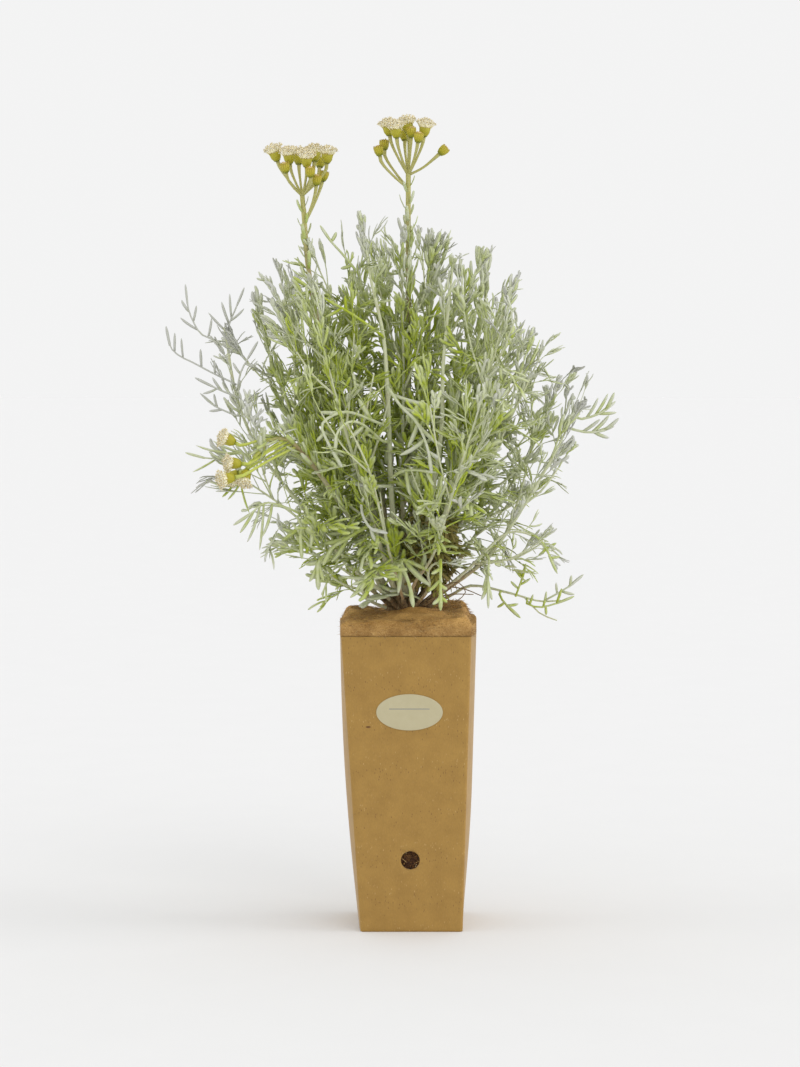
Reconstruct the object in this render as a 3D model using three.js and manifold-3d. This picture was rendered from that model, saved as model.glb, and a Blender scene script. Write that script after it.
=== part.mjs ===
// A potted Senecio viravira: a bushy, silver-leaved subshrub in flower, growing in a tapered
// carton of kraft board whose soil is covered by a fibre mulch mat.
// Millimetres, +Z up. The origin is the centre of the carton's underside, on the surface that
// it stands on. The panel with the label faces -Y.

import * as THREE from 'three';
import { mergeVertices } from 'three/addons/utils/BufferGeometryUtils.js';
import Module from 'manifold-3d';

const wasm = await Module();
wasm.setup();

// The carton: a square that widens upwards and leans a little to the left
const RIM_HEIGHT = 221;
const BASE_WIDTH = 76;
const TOP_WIDTH = 96;
const TOP_SHIFT_X = -4;
const BOARD_THICKNESS = 2.5;
const SIDE_BULGE = 4.8;
const PANEL_ROWS = [25, 55, 90, 125, 160, 190];
const HOLE_RADIUS = 7;
const HOLE_CENTRE = { x: -1, z: 54 };

// The label on the front panel
const LABEL_WIDTH = 49;
const LABEL_HEIGHT = 27;
const LABEL_THICKNESS = 0.25;
const LABEL_CENTRE = { x: -1.6, z: 165 };

// What fills the carton
const SOIL_TOP = 212;
const MAT_LIFT = 14;

// The crown is the woody base from which every shoot rises
const CROWN_CENTRE = new THREE.Vector3(-3, 0, 231);
const CROWN_RADIUS = 15;
const CROWN_DEPTH = 41;
const FOOT_SPACING = 4.7;
const LOWEST_FOOT = 0.3;
const STRAIGHT_START = 22;

// Shoots and leaves
const STEM_SIDES = 5;
const STEM_STEP = 23;
const LEAF_THICKNESS = 1.2;
const LEAF_ROOT = 1;
const LEAF_LENGTH = 40;
const LEAF_ANGLE = THREE.MathUtils.degToRad(42);
const TIP_ANGLE = THREE.MathUtils.degToRad(8);
const GOLDEN_ANGLE = Math.PI * (3 - Math.sqrt(5));
const TURNS_TRIED = 8;

// Flower heads
const HEAD_SIDES = 7;
const BRANCH_SIDES = 4;
const BRANCH_RADIUS = 0.8;
const BRANCH_STEPS = 3;
const BRANCH_SAG = 1.5;
const NECK_LENGTH = 4;
const TOP_FORK = 0.985;

// Touching pieces keep this gap
const CLEARANCE = 0.3;

const colours = {
  board: 0xa8834b,
  label: 0xe6dcb4,
  soil: 0x3a2c20,
  mat: 0x9a7038,
  bark: 0x8a7358,
  leaf: 0x93a184,
  stalk: 0xa9ac5c,
  bud: 0xa69a2c,
  floret: 0xe9ddb8,
};

// Each shoot's thickness, the share of its stem that is bare, and the points that its stem
// passes through after it leaves the crown
const shoots = {
  left_outer_shoot: {
    radius: 1.5,
    bare: 0.55,
    leafLength: 56,
    points: [[-83, -8, 316], [-114, -14, 358], [-129, -15, 394], [-139, -10, 448]],
  },
  left_low_shoot: {
    radius: 1.4,
    bare: 0.4,
    points: [[-49, -30, 274], [-88, -46, 312], [-128, -48, 340]],
  },
  left_sagging_shoot: {
    radius: 1.3,
    bare: 0.45,
    points: [[-42, -24, 262], [-69, -40, 280], [-84, -46, 284]],
  },
  left_rim_shoot: {
    radius: 1.5,
    bare: 0.4,
    points: [[-50, 5, 304], [-85, 8, 371], [-110, 0, 440]],
  },
  left_mass_shoot: {
    radius: 1.6,
    bare: 0.4,
    points: [[-43, 25, 310], [-69, 34, 386], [-96, 25, 470]],
  },
  left_front_shoot: {
    radius: 1.6,
    bare: 0.35,
    points: [[-32, -32, 316], [-52, -42, 384], [-73, -30, 465]],
  },
  left_back_shoot: {
    radius: 1.6,
    bare: 0.35,
    points: [[-34, 45, 302], [-50, 76, 378], [-65, 82, 460]],
  },
  long_pale_shoot: {
    radius: 1.9,
    bare: 0.55,
    points: [[-13, -16, 299], [-18, -24, 404], [-21, -20, 442], [-30, -12, 483], [-36, -4, 522]],
  },
  centre_left_shoot: {
    radius: 1.7,
    bare: 0.4,
    points: [[-20, 10, 311], [-37, 14, 394], [-47, 8, 490]],
  },
  centre_back_shoot: {
    radius: 1.7,
    bare: 0.4,
    points: [[-8, 36, 302], [-12, 54, 393], [-18, 56, 482]],
  },
  centre_shoot: {
    radius: 1.7,
    bare: 0.4,
    points: [[-7, -4, 319], [-6, 0, 409], [-7, 0, 500]],
  },
  centre_right_shoot: {
    radius: 1.7,
    bare: 0.4,
    points: [[2, 12, 318], [11, 20, 401], [16, 16, 500]],
  },
  pale_right_shoot: {
    radius: 1.8,
    bare: 0.5,
    points: [[12, -18, 305], [22, -28, 372], [23, -26, 416], [30, -14, 490]],
  },
  right_mass_shoot: {
    radius: 1.6,
    bare: 0.35,
    points: [[22, 20, 311], [42, 32, 394], [57, 26, 474]],
  },
  right_front_shoot: {
    radius: 1.6,
    bare: 0.35,
    points: [[24, -26, 309], [47, -40, 380], [70, -34, 462]],
  },
  right_back_shoot: {
    radius: 1.6,
    bare: 0.35,
    points: [[22, 48, 301], [49, 80, 370], [70, 88, 434]],
  },
  right_upper_shoot: {
    radius: 1.6,
    bare: 0.35,
    points: [[38, 8, 304], [67, 14, 364], [96, 10, 425]],
  },
  right_outer_shoot: {
    radius: 1.6,
    bare: 0.45,
    points: [[52, -10, 272], [64, -14, 286], [99, -20, 342], [124, -14, 390]],
  },
  right_outer_back_shoot: {
    radius: 1.5,
    bare: 0.4,
    points: [[44, 26, 284], [83, 44, 340], [112, 46, 404]],
  },
  right_low_shoot: {
    radius: 1.3,
    bare: 0.45,
    points: [[43, -24, 270], [72, -34, 297], [90, -38, 294], [102, -40, 280]],
  },
  right_lowest_shoot: {
    radius: 1.2,
    bare: 0.45,
    points: [[44, 8, 254], [74, 2, 249], [97, 0, 243], [112, -4, 244]],
  },
  front_left_shoot: {
    radius: 1.5,
    bare: 0.35,
    points: [[-17, -45, 285], [-31, -82, 345], [-46, -94, 378]],
  },
  front_right_shoot: {
    radius: 1.5,
    bare: 0.35,
    points: [[14, -40, 277], [30, -80, 330], [42, -94, 372]],
  },
  front_drooping_shoot: {
    radius: 1.2,
    bare: 0.45,
    points: [[12, -32, 268], [19, -46, 275], [22, -57, 262]],
  },
};

// The flowering stalks: bare stems with a few narrow leaves, then one branch to each head. A head
// is its foot, the way it faces, whether it has opened, and how far up the stalk its branch forks
// off where that isn't the top.
const stalks = {
  left: {
    radius: 1.6,
    bare: 0.62,
    leafLength: 17,
    points: [[-31, 0, 319], [-61, -4, 409], [-77, -6, 494], [-79, -6, 520], [-82, -6, 546]],
    heads: [
      { foot: [-99.5, -2, 571], facing: [-0.33, -0.1, 0.94], open: true },
      { foot: [-90, -9, 568.5], facing: [-0.12, -0.2, 0.97], open: true },
      { foot: [-84, 4, 569], facing: [-0.05, 0.15, 0.98], open: true },
      { foot: [-77.6, -15, 565.5], facing: [0.02, -0.2, 0.98], open: true },
      { foot: [-72.6, 9, 571.5], facing: [0.08, 0.2, 0.98], open: true },
      { foot: [-63, -5, 569], facing: [0.1, -0.06, 0.99], open: true },
      { foot: [-69, 21, 568], facing: [0.1, 0.35, 0.93], open: true },
      { foot: [-92.5, -17, 561.5], facing: [-0.2, -0.3, 0.93], open: false },
      { foot: [-74.5, -21, 558], facing: [0, -0.35, 0.94], open: false },
      { foot: [-70.5, -14, 552.5], facing: [0.1, -0.2, 0.97], open: false, fork: 0.92 },
      { foot: [-66.5, 1, 556.5], facing: [0.25, 0, 0.97], open: false, fork: 0.92 },
    ],
  },
  right: {
    radius: 1.7,
    bare: 0.62,
    leafLength: 17,
    points: [[-2, 24, 333], [-2, 15, 431], [-2.5, 10, 506], [-2.5, 6, 540], [-2.5, 3, 566]],
    heads: [
      { foot: [-16.2, 1, 590], facing: [-0.18, 0.05, 0.98], open: true },
      { foot: [-11, -9, 587.5], facing: [-0.12, -0.15, 0.98], open: true },
      { foot: [-2.5, 4, 592], facing: [-0.1, 0.05, 0.99], open: true },
      { foot: [9, -2, 589], facing: [0.14, -0.05, 0.98], open: true },
      { foot: [-5, 15, 587.5], facing: [0, 0.25, 0.96], open: true },
      { foot: [-0.5, -8, 588], facing: [0.04, -0.12, 0.99], open: false },
      { foot: [4.5, -13, 584], facing: [0.15, -0.25, 0.95], open: false },
      { foot: [-23.5, -2, 575], facing: [-0.2, -0.1, 0.97], open: false, fork: 0.955 },
      { foot: [-20.2, 7, 580], facing: [-0.05, 0.1, 0.98], open: false, fork: 0.955 },
      { foot: [20.5, 0, 576.5], facing: [0.75, 0, 0.66], open: false },
    ],
  },
  drooping: {
    radius: 1.4,
    bare: 0.6,
    leafLength: 17,
    points: [[-45, -32, 306], [-80, -62, 357], [-92, -70, 367], [-103, -74, 365], [-114, -77, 353]],
    heads: [
      { foot: [-127, -77, 364], facing: [-0.88, -0.2, 0.4], open: true },
      { foot: [-122.5, -80, 349], facing: [-0.96, -0.25, 0.1], open: true },
      { foot: [-127, -88, 339.5], facing: [-0.9, -0.4, -0.1], open: true },
      { foot: [-118.6, -78, 345], facing: [-0.25, -0.3, -0.92], open: true },
      { foot: [-124.5, -68, 342], facing: [-0.75, 0.5, -0.4], open: true },
    ],
  },
};

// A closed three.js geometry as a solid. Its seams are merged and faces of no area are dropped.
function toSolid(geometry) {
  geometry.deleteAttribute('normal');
  geometry.deleteAttribute('uv');
  const merged = mergeVertices(geometry, 1e-4);
  const triangles = [];
  for (let i = 0; i < merged.index.count; i += 3) {
    const [a, b, c] = [0, 1, 2].map((corner) => merged.index.getX(i + corner));
    if (a !== b && b !== c && c !== a) {
      triangles.push(a, b, c);
    }
  }
  return new wasm.Manifold(new wasm.Mesh({
    numProp: 3,
    vertProperties: Float32Array.from(merged.attributes.position.array),
    triVerts: Uint32Array.from(triangles),
  }));
}

function toGeometry(solid) {
  const { numProp, vertProperties, triVerts } = solid.getMesh();
  const geometry = new THREE.BufferGeometry();
  geometry.setAttribute('position', new THREE.BufferAttribute(vertProperties, numProp));
  geometry.setIndex(new THREE.BufferAttribute(triVerts, 1));
  geometry.computeVertexNormals();
  return geometry;
}

// The closed surface through a stack of rings of points, from the lowest ring to the highest
function loft(rings) {
  const count = rings[0].length;
  const last = (rings.length - 1) * count;
  const index = [];
  for (let start = 0; start < last; start += count) {
    for (let i = 0; i < count; i += 1) {
      const here = start + i;
      const next = start + ((i + 1) % count);
      index.push(here, next, next + count, here, next + count, here + count);
    }
  }
  for (let i = 1; i < count - 1; i += 1) {
    index.push(0, i + 1, i);
    index.push(last, last + i, last + i + 1);
  }
  const geometry = new THREE.BufferGeometry();
  geometry.setFromPoints(rings.flat());
  geometry.setIndex(index);
  return geometry;
}

function addMesh(group, name, geometry, color, roughness = 0.85) {
  const material = new THREE.MeshStandardMaterial({ color, roughness, metalness: 0 });
  const mesh = new THREE.Mesh(geometry, material);
  mesh.name = name;
  group.add(mesh);
  return mesh;
}

// How far the two side panels are pushed out by the soil: the right one all the way up to the
// rim, the left one most at half height
function sideBulge(side, share) {
  if (side > 0) {
    return SIDE_BULGE * Math.sin((Math.PI / 2) * Math.min(1, share * 2));
  }
  return SIDE_BULGE * Math.sin(Math.PI * (0.9 - 0.8 * share));
}

// The carton's outline at a height, seen from above and drawn in by an inset
function cartonRing(z, inset) {
  const share = THREE.MathUtils.clamp(z / RIM_HEIGHT, 0, 1);
  const half = THREE.MathUtils.lerp(BASE_WIDTH, TOP_WIDTH, share) / 2 - inset;
  const ring = [];
  for (const side of [1, -1]) {
    for (const along of [-1, -0.5, 0, 0.5, 1]) {
      const bulge = sideBulge(side, share) * (1 - along * along);
      const x = TOP_SHIFT_X * share + side * (half + bulge);
      ring.push(new THREE.Vector3(x, side * along * half, z));
    }
  }
  return ring;
}

function cartonStack(inset, heights) {
  return toSolid(loft(heights.map((z) => cartonRing(z, inset))));
}

function makeCarton() {
  const outside = cartonStack(0, [0, ...PANEL_ROWS, SOIL_TOP, RIM_HEIGHT]);
  const aboveRim = RIM_HEIGHT + 5;
  const insideRows = [BOARD_THICKNESS, ...PANEL_ROWS, SOIL_TOP, RIM_HEIGHT, aboveRim];
  const inside = cartonStack(BOARD_THICKNESS, insideRows);
  const drill = new THREE.CylinderGeometry(HOLE_RADIUS, HOLE_RADIUS, BASE_WIDTH / 2, 20);
  drill.translate(HOLE_CENTRE.x, -BASE_WIDTH / 2, HOLE_CENTRE.z);
  return toGeometry(outside.subtract(inside).subtract(toSolid(drill)));
}

// The label lies flat on the front panel, which leans outwards
function addLabel(group) {
  const lean = Math.atan((TOP_WIDTH - BASE_WIDTH) / 2 / RIM_HEIGHT);
  const outline = new THREE.Shape();
  outline.absellipse(0, 0, LABEL_WIDTH / 2, LABEL_HEIGHT / 2, 0, 2 * Math.PI);
  const settings = { depth: LABEL_THICKNESS, bevelEnabled: false, curveSegments: 14 };
  const geometry = new THREE.ExtrudeGeometry(outline, settings);
  const mesh = addMesh(group, 'oval_label', geometry, colours.label, 0.6);
  const panelY = -THREE.MathUtils.lerp(BASE_WIDTH, TOP_WIDTH, LABEL_CENTRE.z / RIM_HEIGHT) / 2;
  mesh.rotation.x = Math.PI / 2 + lean;
  mesh.position.set(LABEL_CENTRE.x, panelY - CLEARANCE / Math.cos(lean), LABEL_CENTRE.z);
}

// The crown's outline: a tapering root stock and a rounded top. Growing it by a clearance gives
// the pocket that it stands in.
function crownSolid(growth) {
  const radius = CROWN_RADIUS + growth;
  const profile = [
    new THREE.Vector2(0, -CROWN_DEPTH - growth),
    new THREE.Vector2(6 + growth, -CROWN_DEPTH - growth),
    new THREE.Vector2(9 + growth, -16),
  ];
  for (let degrees = -25; degrees <= 90; degrees += 23) {
    const angle = THREE.MathUtils.degToRad(degrees);
    const across = degrees === 90 ? 0 : radius * Math.cos(angle);
    profile.push(new THREE.Vector2(across, radius * Math.sin(angle)));
  }
  const geometry = new THREE.LatheGeometry(profile, 16);
  geometry.rotateX(Math.PI / 2);
  geometry.translate(...CROWN_CENTRE);
  return toSolid(geometry);
}

function makeRootBall() {
  const inset = BOARD_THICKNESS + CLEARANCE;
  const block = cartonStack(inset, [inset, ...PANEL_ROWS, SOIL_TOP]);
  return toGeometry(block.subtract(crownSolid(CLEARANCE)));
}

// The mat is a pad pressed into the rim. It stands higher at the back and on the right, and
// sinks towards the crown.
function makeMat() {
  const inset = BOARD_THICKNESS + CLEARANCE;
  const shoulder = RIM_HEIGHT + CLEARANCE;
  const underside = cartonRing(SOIL_TOP + CLEARANCE, inset);
  const rings = [underside, cartonRing(shoulder, inset), cartonRing(shoulder, 0)];
  const steps = [[0, 0.5], [2, 0.85], [8, 1], [20, 0.9], [30, 0.72]];
  for (const [drawnIn, lift] of steps) {
    const ring = cartonRing(RIM_HEIGHT, drawnIn);
    for (const point of ring) {
      const slope = 1 + (point.x + 2 * point.y) / (3.5 * TOP_WIDTH);
      point.z = shoulder + MAT_LIFT * lift * slope;
    }
    rings.push(ring);
  }
  return toGeometry(toSolid(loft(rings)).subtract(crownSolid(CLEARANCE)));
}

// Where the stems stand on the crown. Each starts out towards its own shoot, and those that
// stand too close push each other apart.
function spreadFeet(aims) {
  const feet = aims.map((aim) => aim.clone().sub(CROWN_CENTRE).normalize());
  for (let round = 0; round < 200; round += 1) {
    for (let i = 0; i < feet.length; i += 1) {
      for (let j = 0; j < i; j += 1) {
        const apart = feet[i].clone().sub(feet[j]);
        const missing = FOOT_SPACING / CROWN_RADIUS - apart.length();
        if (missing > 0) {
          apart.setLength(missing / 2);
          feet[i].add(apart);
          feet[j].sub(apart);
        }
      }
      feet[i].z = Math.max(feet[i].z, LOWEST_FOOT);
      feet[i].normalize();
    }
  }
  return feet;
}

// A stem of even thickness along a smooth curve, in a number of straight steps
function tube(curve, radius, sides, steps) {
  const corners = [];
  for (let i = 0; i < sides; i += 1) {
    const angle = (2 * Math.PI * i) / sides;
    corners.push(new THREE.Vector2(radius * Math.cos(angle), radius * Math.sin(angle)));
  }
  const settings = { extrudePath: curve, steps, bevelEnabled: false };
  return toSolid(new THREE.ExtrudeGeometry(new THREE.Shape(corners), settings));
}

function stemCurve(facing, points) {
  const foot = CROWN_CENTRE.clone().addScaledVector(facing, CROWN_RADIUS + CLEARANCE);
  const start = CROWN_CENTRE.clone().addScaledVector(facing, CROWN_RADIUS + STRAIGHT_START);
  const route = [foot, start, ...points.map((point) => new THREE.Vector3(...point))];
  return new THREE.CatmullRomCurve3(route, false, 'centripetal');
}

// A leaf along +X: a narrow blade with one pair of side lobes, rooted a little inside its stem. It
// is thickest along its midrib, from the root to where the lobes part.
function leafGeometry(length) {
  const [root, fork, tip] = [-LEAF_ROOT, 0.43 * length, length];
  const lobeTip = [0.74 * length, 0.3 * length];
  const rim = [[root, 0.9], [0.36 * length, 1], lobeTip, [0.5 * length, 1]];
  const corners = [];
  const face = (...points) => corners.push(...points.map((point) => new THREE.Vector3(...point)));
  for (const side of [1, -1]) {
    for (const level of [1, -1]) {
      const midrib = [root, fork].map((x) => [x, 0, (level * LEAF_THICKNESS) / 2]);
      const edge = [...rim.map(([x, y]) => [x, side * y, 0]), [tip, 0, 0]];
      const faces = [[midrib[0], midrib[1], edge[1]], [midrib[0], edge[1], edge[0]]];
      for (let i = 1; i < edge.length - 1; i += 1) {
        faces.push([midrib[1], edge[i + 1], edge[i]]);
      }
      faces.push([midrib[0], edge[0], [root, 0, 0]]);
      faces.forEach((points) => face(...(side * level > 0 ? points : points.reverse())));
    }
  }
  return new THREE.BufferGeometry().setFromPoints(corners);
}

// The leaf that leaves a stem at a point of its curve, turned about the stem
function leafAt(curve, along, turn, length, angle) {
  const point = curve.getPointAt(along);
  const tangent = curve.getTangentAt(along);
  const level = new THREE.Vector3(0, 0, 1).cross(tangent);
  if (level.length() < 0.1) {
    level.set(0, 1, 0).cross(tangent);
  }
  const outward = level.normalize().applyAxisAngle(tangent, turn);
  const direction = outward.clone().multiplyScalar(Math.sin(angle)).addScaledVector(tangent, Math.cos(angle));
  const across = tangent.clone().cross(outward).normalize();
  const face = direction.clone().cross(across);
  const place = new THREE.Matrix4().makeBasis(direction, across, face).setPosition(point);
  return toSolid(leafGeometry(length).applyMatrix4(place));
}

function isClear(candidate, others) {
  return others.every((other) => candidate.minGap(other, CLEARANCE) >= CLEARANCE);
}

// Leaves all the way up a stem past its bare foot, the last one in line with the tip. A leaf that
// would touch another piece is turned about the stem, and left out if no way is clear.
function addLeaves({ solid, curve, steps, bare, leafLength = LEAF_LENGTH }, others) {
  let shoot = solid;
  for (let step = Math.ceil(bare * steps); step <= steps; step += 1) {
    const angle = step === steps ? TIP_ANGLE : LEAF_ANGLE;
    for (let attempt = 0; attempt < TURNS_TRIED; attempt += 1) {
      const turn = GOLDEN_ANGLE * step + (2 * Math.PI * attempt) / TURNS_TRIED;
      const leaf = leafAt(curve, step / steps, turn, leafLength, angle);
      if (isClear(leaf, others)) {
        shoot = shoot.add(leaf);
        break;
      }
    }
  }
  return shoot;
}

// A flower head along +Z from its foot: a cup of bracts, which opens into a tuft of florets
function headGeometry(open) {
  const openProfile = [[0, 0], [2.4, 1.2], [3.7, 4.5], [3.6, 7], [5.8, 9], [4.8, 11], [0, 12]];
  const budProfile = [[0, 0], [2.4, 1.2], [3.1, 4], [2.5, 7.5], [0, 8.8]];
  const profile = (open ? openProfile : budProfile).map(([x, y]) => new THREE.Vector2(x, y));
  const geometry = new THREE.LatheGeometry(profile, HEAD_SIDES);
  geometry.rotateX(Math.PI / 2);
  return geometry;
}

function placeHead(target, { foot, facing }) {
  const up = new THREE.Vector3(0, 0, 1);
  target.position.set(...foot);
  target.quaternion.setFromUnitVectors(up, new THREE.Vector3(...facing).normalize());
  target.updateMatrix();
  return target;
}

// The branch that carries a head: it forks off the stalk and ends just under the head, in line
// with it
function headBranch(curve, { foot, facing, fork = TOP_FORK }) {
  const axis = new THREE.Vector3(...facing).normalize();
  const end = new THREE.Vector3(...foot).addScaledVector(axis, -CLEARANCE);
  const neck = end.clone().addScaledVector(axis, -NECK_LENGTH);
  const start = curve.getPointAt(fork);
  const middle = start.clone().lerp(neck, 0.55).addScaledVector(curve.getTangentAt(1), -BRANCH_SAG);
  const branch = new THREE.CatmullRomCurve3([start, middle, neck, end]);
  return tube(branch, BRANCH_RADIUS, BRANCH_SIDES, BRANCH_STEPS);
}

const plant = new THREE.Group();
plant.name = 'potted_senecio_viravira';

addMesh(plant, 'carton', makeCarton(), colours.board);
addLabel(plant);
addMesh(plant, 'root_ball', makeRootBall(), colours.soil, 1);
const matGeometry = makeMat();
addMesh(plant, 'mulch_mat', matGeometry, colours.mat, 1);
const crown = crownSolid(0);
addMesh(plant, 'crown', toGeometry(crown), colours.bark);

const growths = [...Object.values(shoots), ...Object.values(stalks)];
const feet = spreadFeet(growths.map(({ points }) => new THREE.Vector3(...points[0])));
growths.forEach((growth, i) => {
  growth.curve = stemCurve(feet[i], growth.points);
  growth.steps = Math.round(growth.curve.getLength() / STEM_STEP);
  growth.solid = tube(growth.curve, growth.radius, STEM_SIDES, growth.steps);
});

const fixed = [crown, toSolid(matGeometry.clone())];
for (const [side, stalk] of Object.entries(stalks)) {
  const counts = { head: 0, bud: 0 };
  for (const head of stalk.heads) {
    const kind = head.open ? 'head' : 'bud';
    counts[kind] += 1;
    const colour = head.open ? colours.floret : colours.bud;
    const name = `${side}_flower_${kind}_${counts[kind]}`;
    const mesh = placeHead(addMesh(plant, name, headGeometry(head.open), colour), head);
    fixed.push(toSolid(mesh.geometry.clone().applyMatrix4(mesh.matrix)));
    stalk.solid = stalk.solid.add(headBranch(stalk.curve, head));
  }
}

for (const growth of growths) {
  const others = growths.filter((other) => other !== growth).map((other) => other.solid);
  growth.solid = addLeaves(growth, [...fixed, ...others]);
}
for (const [name, { solid }] of Object.entries(shoots)) {
  addMesh(plant, name, toGeometry(solid), colours.leaf);
}
for (const [side, { solid }] of Object.entries(stalks)) {
  addMesh(plant, `${side}_flower_stalk`, toGeometry(solid), colours.stalk);
}

export default plant;
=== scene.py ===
import functools
import math
from typing import NamedTuple

import bmesh
import bpy
import numpy as np
from bpy.props import FloatProperty, FloatVectorProperty, IntProperty, PointerProperty
from mathutils import Matrix, Vector


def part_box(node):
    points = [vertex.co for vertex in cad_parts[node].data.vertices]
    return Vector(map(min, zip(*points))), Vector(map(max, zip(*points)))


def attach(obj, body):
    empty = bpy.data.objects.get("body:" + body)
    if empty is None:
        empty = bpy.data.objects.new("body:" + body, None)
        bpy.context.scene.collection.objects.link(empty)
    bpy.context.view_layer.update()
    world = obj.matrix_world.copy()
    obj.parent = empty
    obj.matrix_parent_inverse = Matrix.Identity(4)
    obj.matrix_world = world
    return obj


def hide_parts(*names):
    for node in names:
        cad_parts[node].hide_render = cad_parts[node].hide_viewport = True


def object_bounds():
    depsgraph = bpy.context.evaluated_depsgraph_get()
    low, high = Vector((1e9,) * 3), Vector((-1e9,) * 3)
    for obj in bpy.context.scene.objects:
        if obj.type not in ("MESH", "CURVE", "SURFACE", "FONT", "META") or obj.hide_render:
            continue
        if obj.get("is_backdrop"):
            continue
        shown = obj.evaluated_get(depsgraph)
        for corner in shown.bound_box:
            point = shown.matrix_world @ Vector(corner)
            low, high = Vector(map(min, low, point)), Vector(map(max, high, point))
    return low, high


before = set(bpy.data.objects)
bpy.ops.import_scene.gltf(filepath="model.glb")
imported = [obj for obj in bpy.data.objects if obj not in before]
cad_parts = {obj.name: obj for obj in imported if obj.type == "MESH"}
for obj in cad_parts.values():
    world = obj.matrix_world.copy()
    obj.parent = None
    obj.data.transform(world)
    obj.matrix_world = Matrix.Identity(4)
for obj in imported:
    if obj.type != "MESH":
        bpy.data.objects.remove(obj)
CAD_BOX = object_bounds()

bl_info = {
    "name": "Potted Senecio viravira",
    "version": (1, 0, 0),
    "blender": (4, 5, 0),
    "location": "3D View > Sidebar > Potted plant",
    "description": "A silver-leaved subshrub in flower, in a kraft carton with a fibre mulch mat",
    "category": "Add Mesh",
}

MM = 0.001
GOLDEN_ANGLE = math.pi * (3 - math.sqrt(5))
UP = np.array([0.0, 0.0, 1.0])

# Sizes that the carton, the crown and the routes of the stems share, in millimetres
RIM_HEIGHT = 221
BASE_WIDTH = 76
TOP_WIDTH = 96
TOP_SHIFT_X = -4
BOARD_THICKNESS = 2.5
SIDE_BULGE = 4.8
BARK_SCRAP = (-32, -44.7, 154)
CROWN_CENTRE = np.array([-3.0, 0.0, 231.0])
CROWN_RADIUS = 15
FOOT_SPACING = 4.7
LOWEST_FOOT = 0.3
STRAIGHT_START = 22
CLEARANCE = 0.3
SOIL_TOP = 211.5
MAT_UNDERSIDE = 212.3
FOLD_RADIUS = 2.2
PANEL_STEPS = 16

# Seeds of the random draws, by piece or group of pieces
SEEDS = {"root_ball": 11, "mulch_mat": 23, "crown": 37, "shoots": 100, "stalks": 200, "heads": 300}


class Habit(NamedTuple):
    """How a shoot is furnished with side sprigs and leaves. Lengths are in millimetres."""

    sprigs: int
    bare: float  # share of the stem below the first leaf
    spacing: float
    leaf: float
    lobe: float  # width of a leaf's lobes
    splay: tuple  # how far the lowest and the highest leaf stand away from the stem, in radians
    low_leaves: int  # large leaves near the foot


HABITS = {
    "tufted": Habit(7, 0.25, 7.0, 45, 3.05, (1.05, 0.28), 11),
    "spreading": Habit(2, 0.25, 5.5, 46, 3.3, (1.2, 0.6), 8),
    "trimmed": Habit(4, 0.3, 7.8, 35, 2.7, (1.0, 0.32), 8),
    "sparse": Habit(0, 0.42, 9.0, 42, 2.1, (0.7, 0.3), 1),
    "wispy": Habit(1, 0.35, 9.0, 24, 2.1, (0.9, 0.5), 2),
    "leggy": Habit(0, 0.76, 9.0, 36, 2.4, (0.7, 0.2), 5),
}

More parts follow.
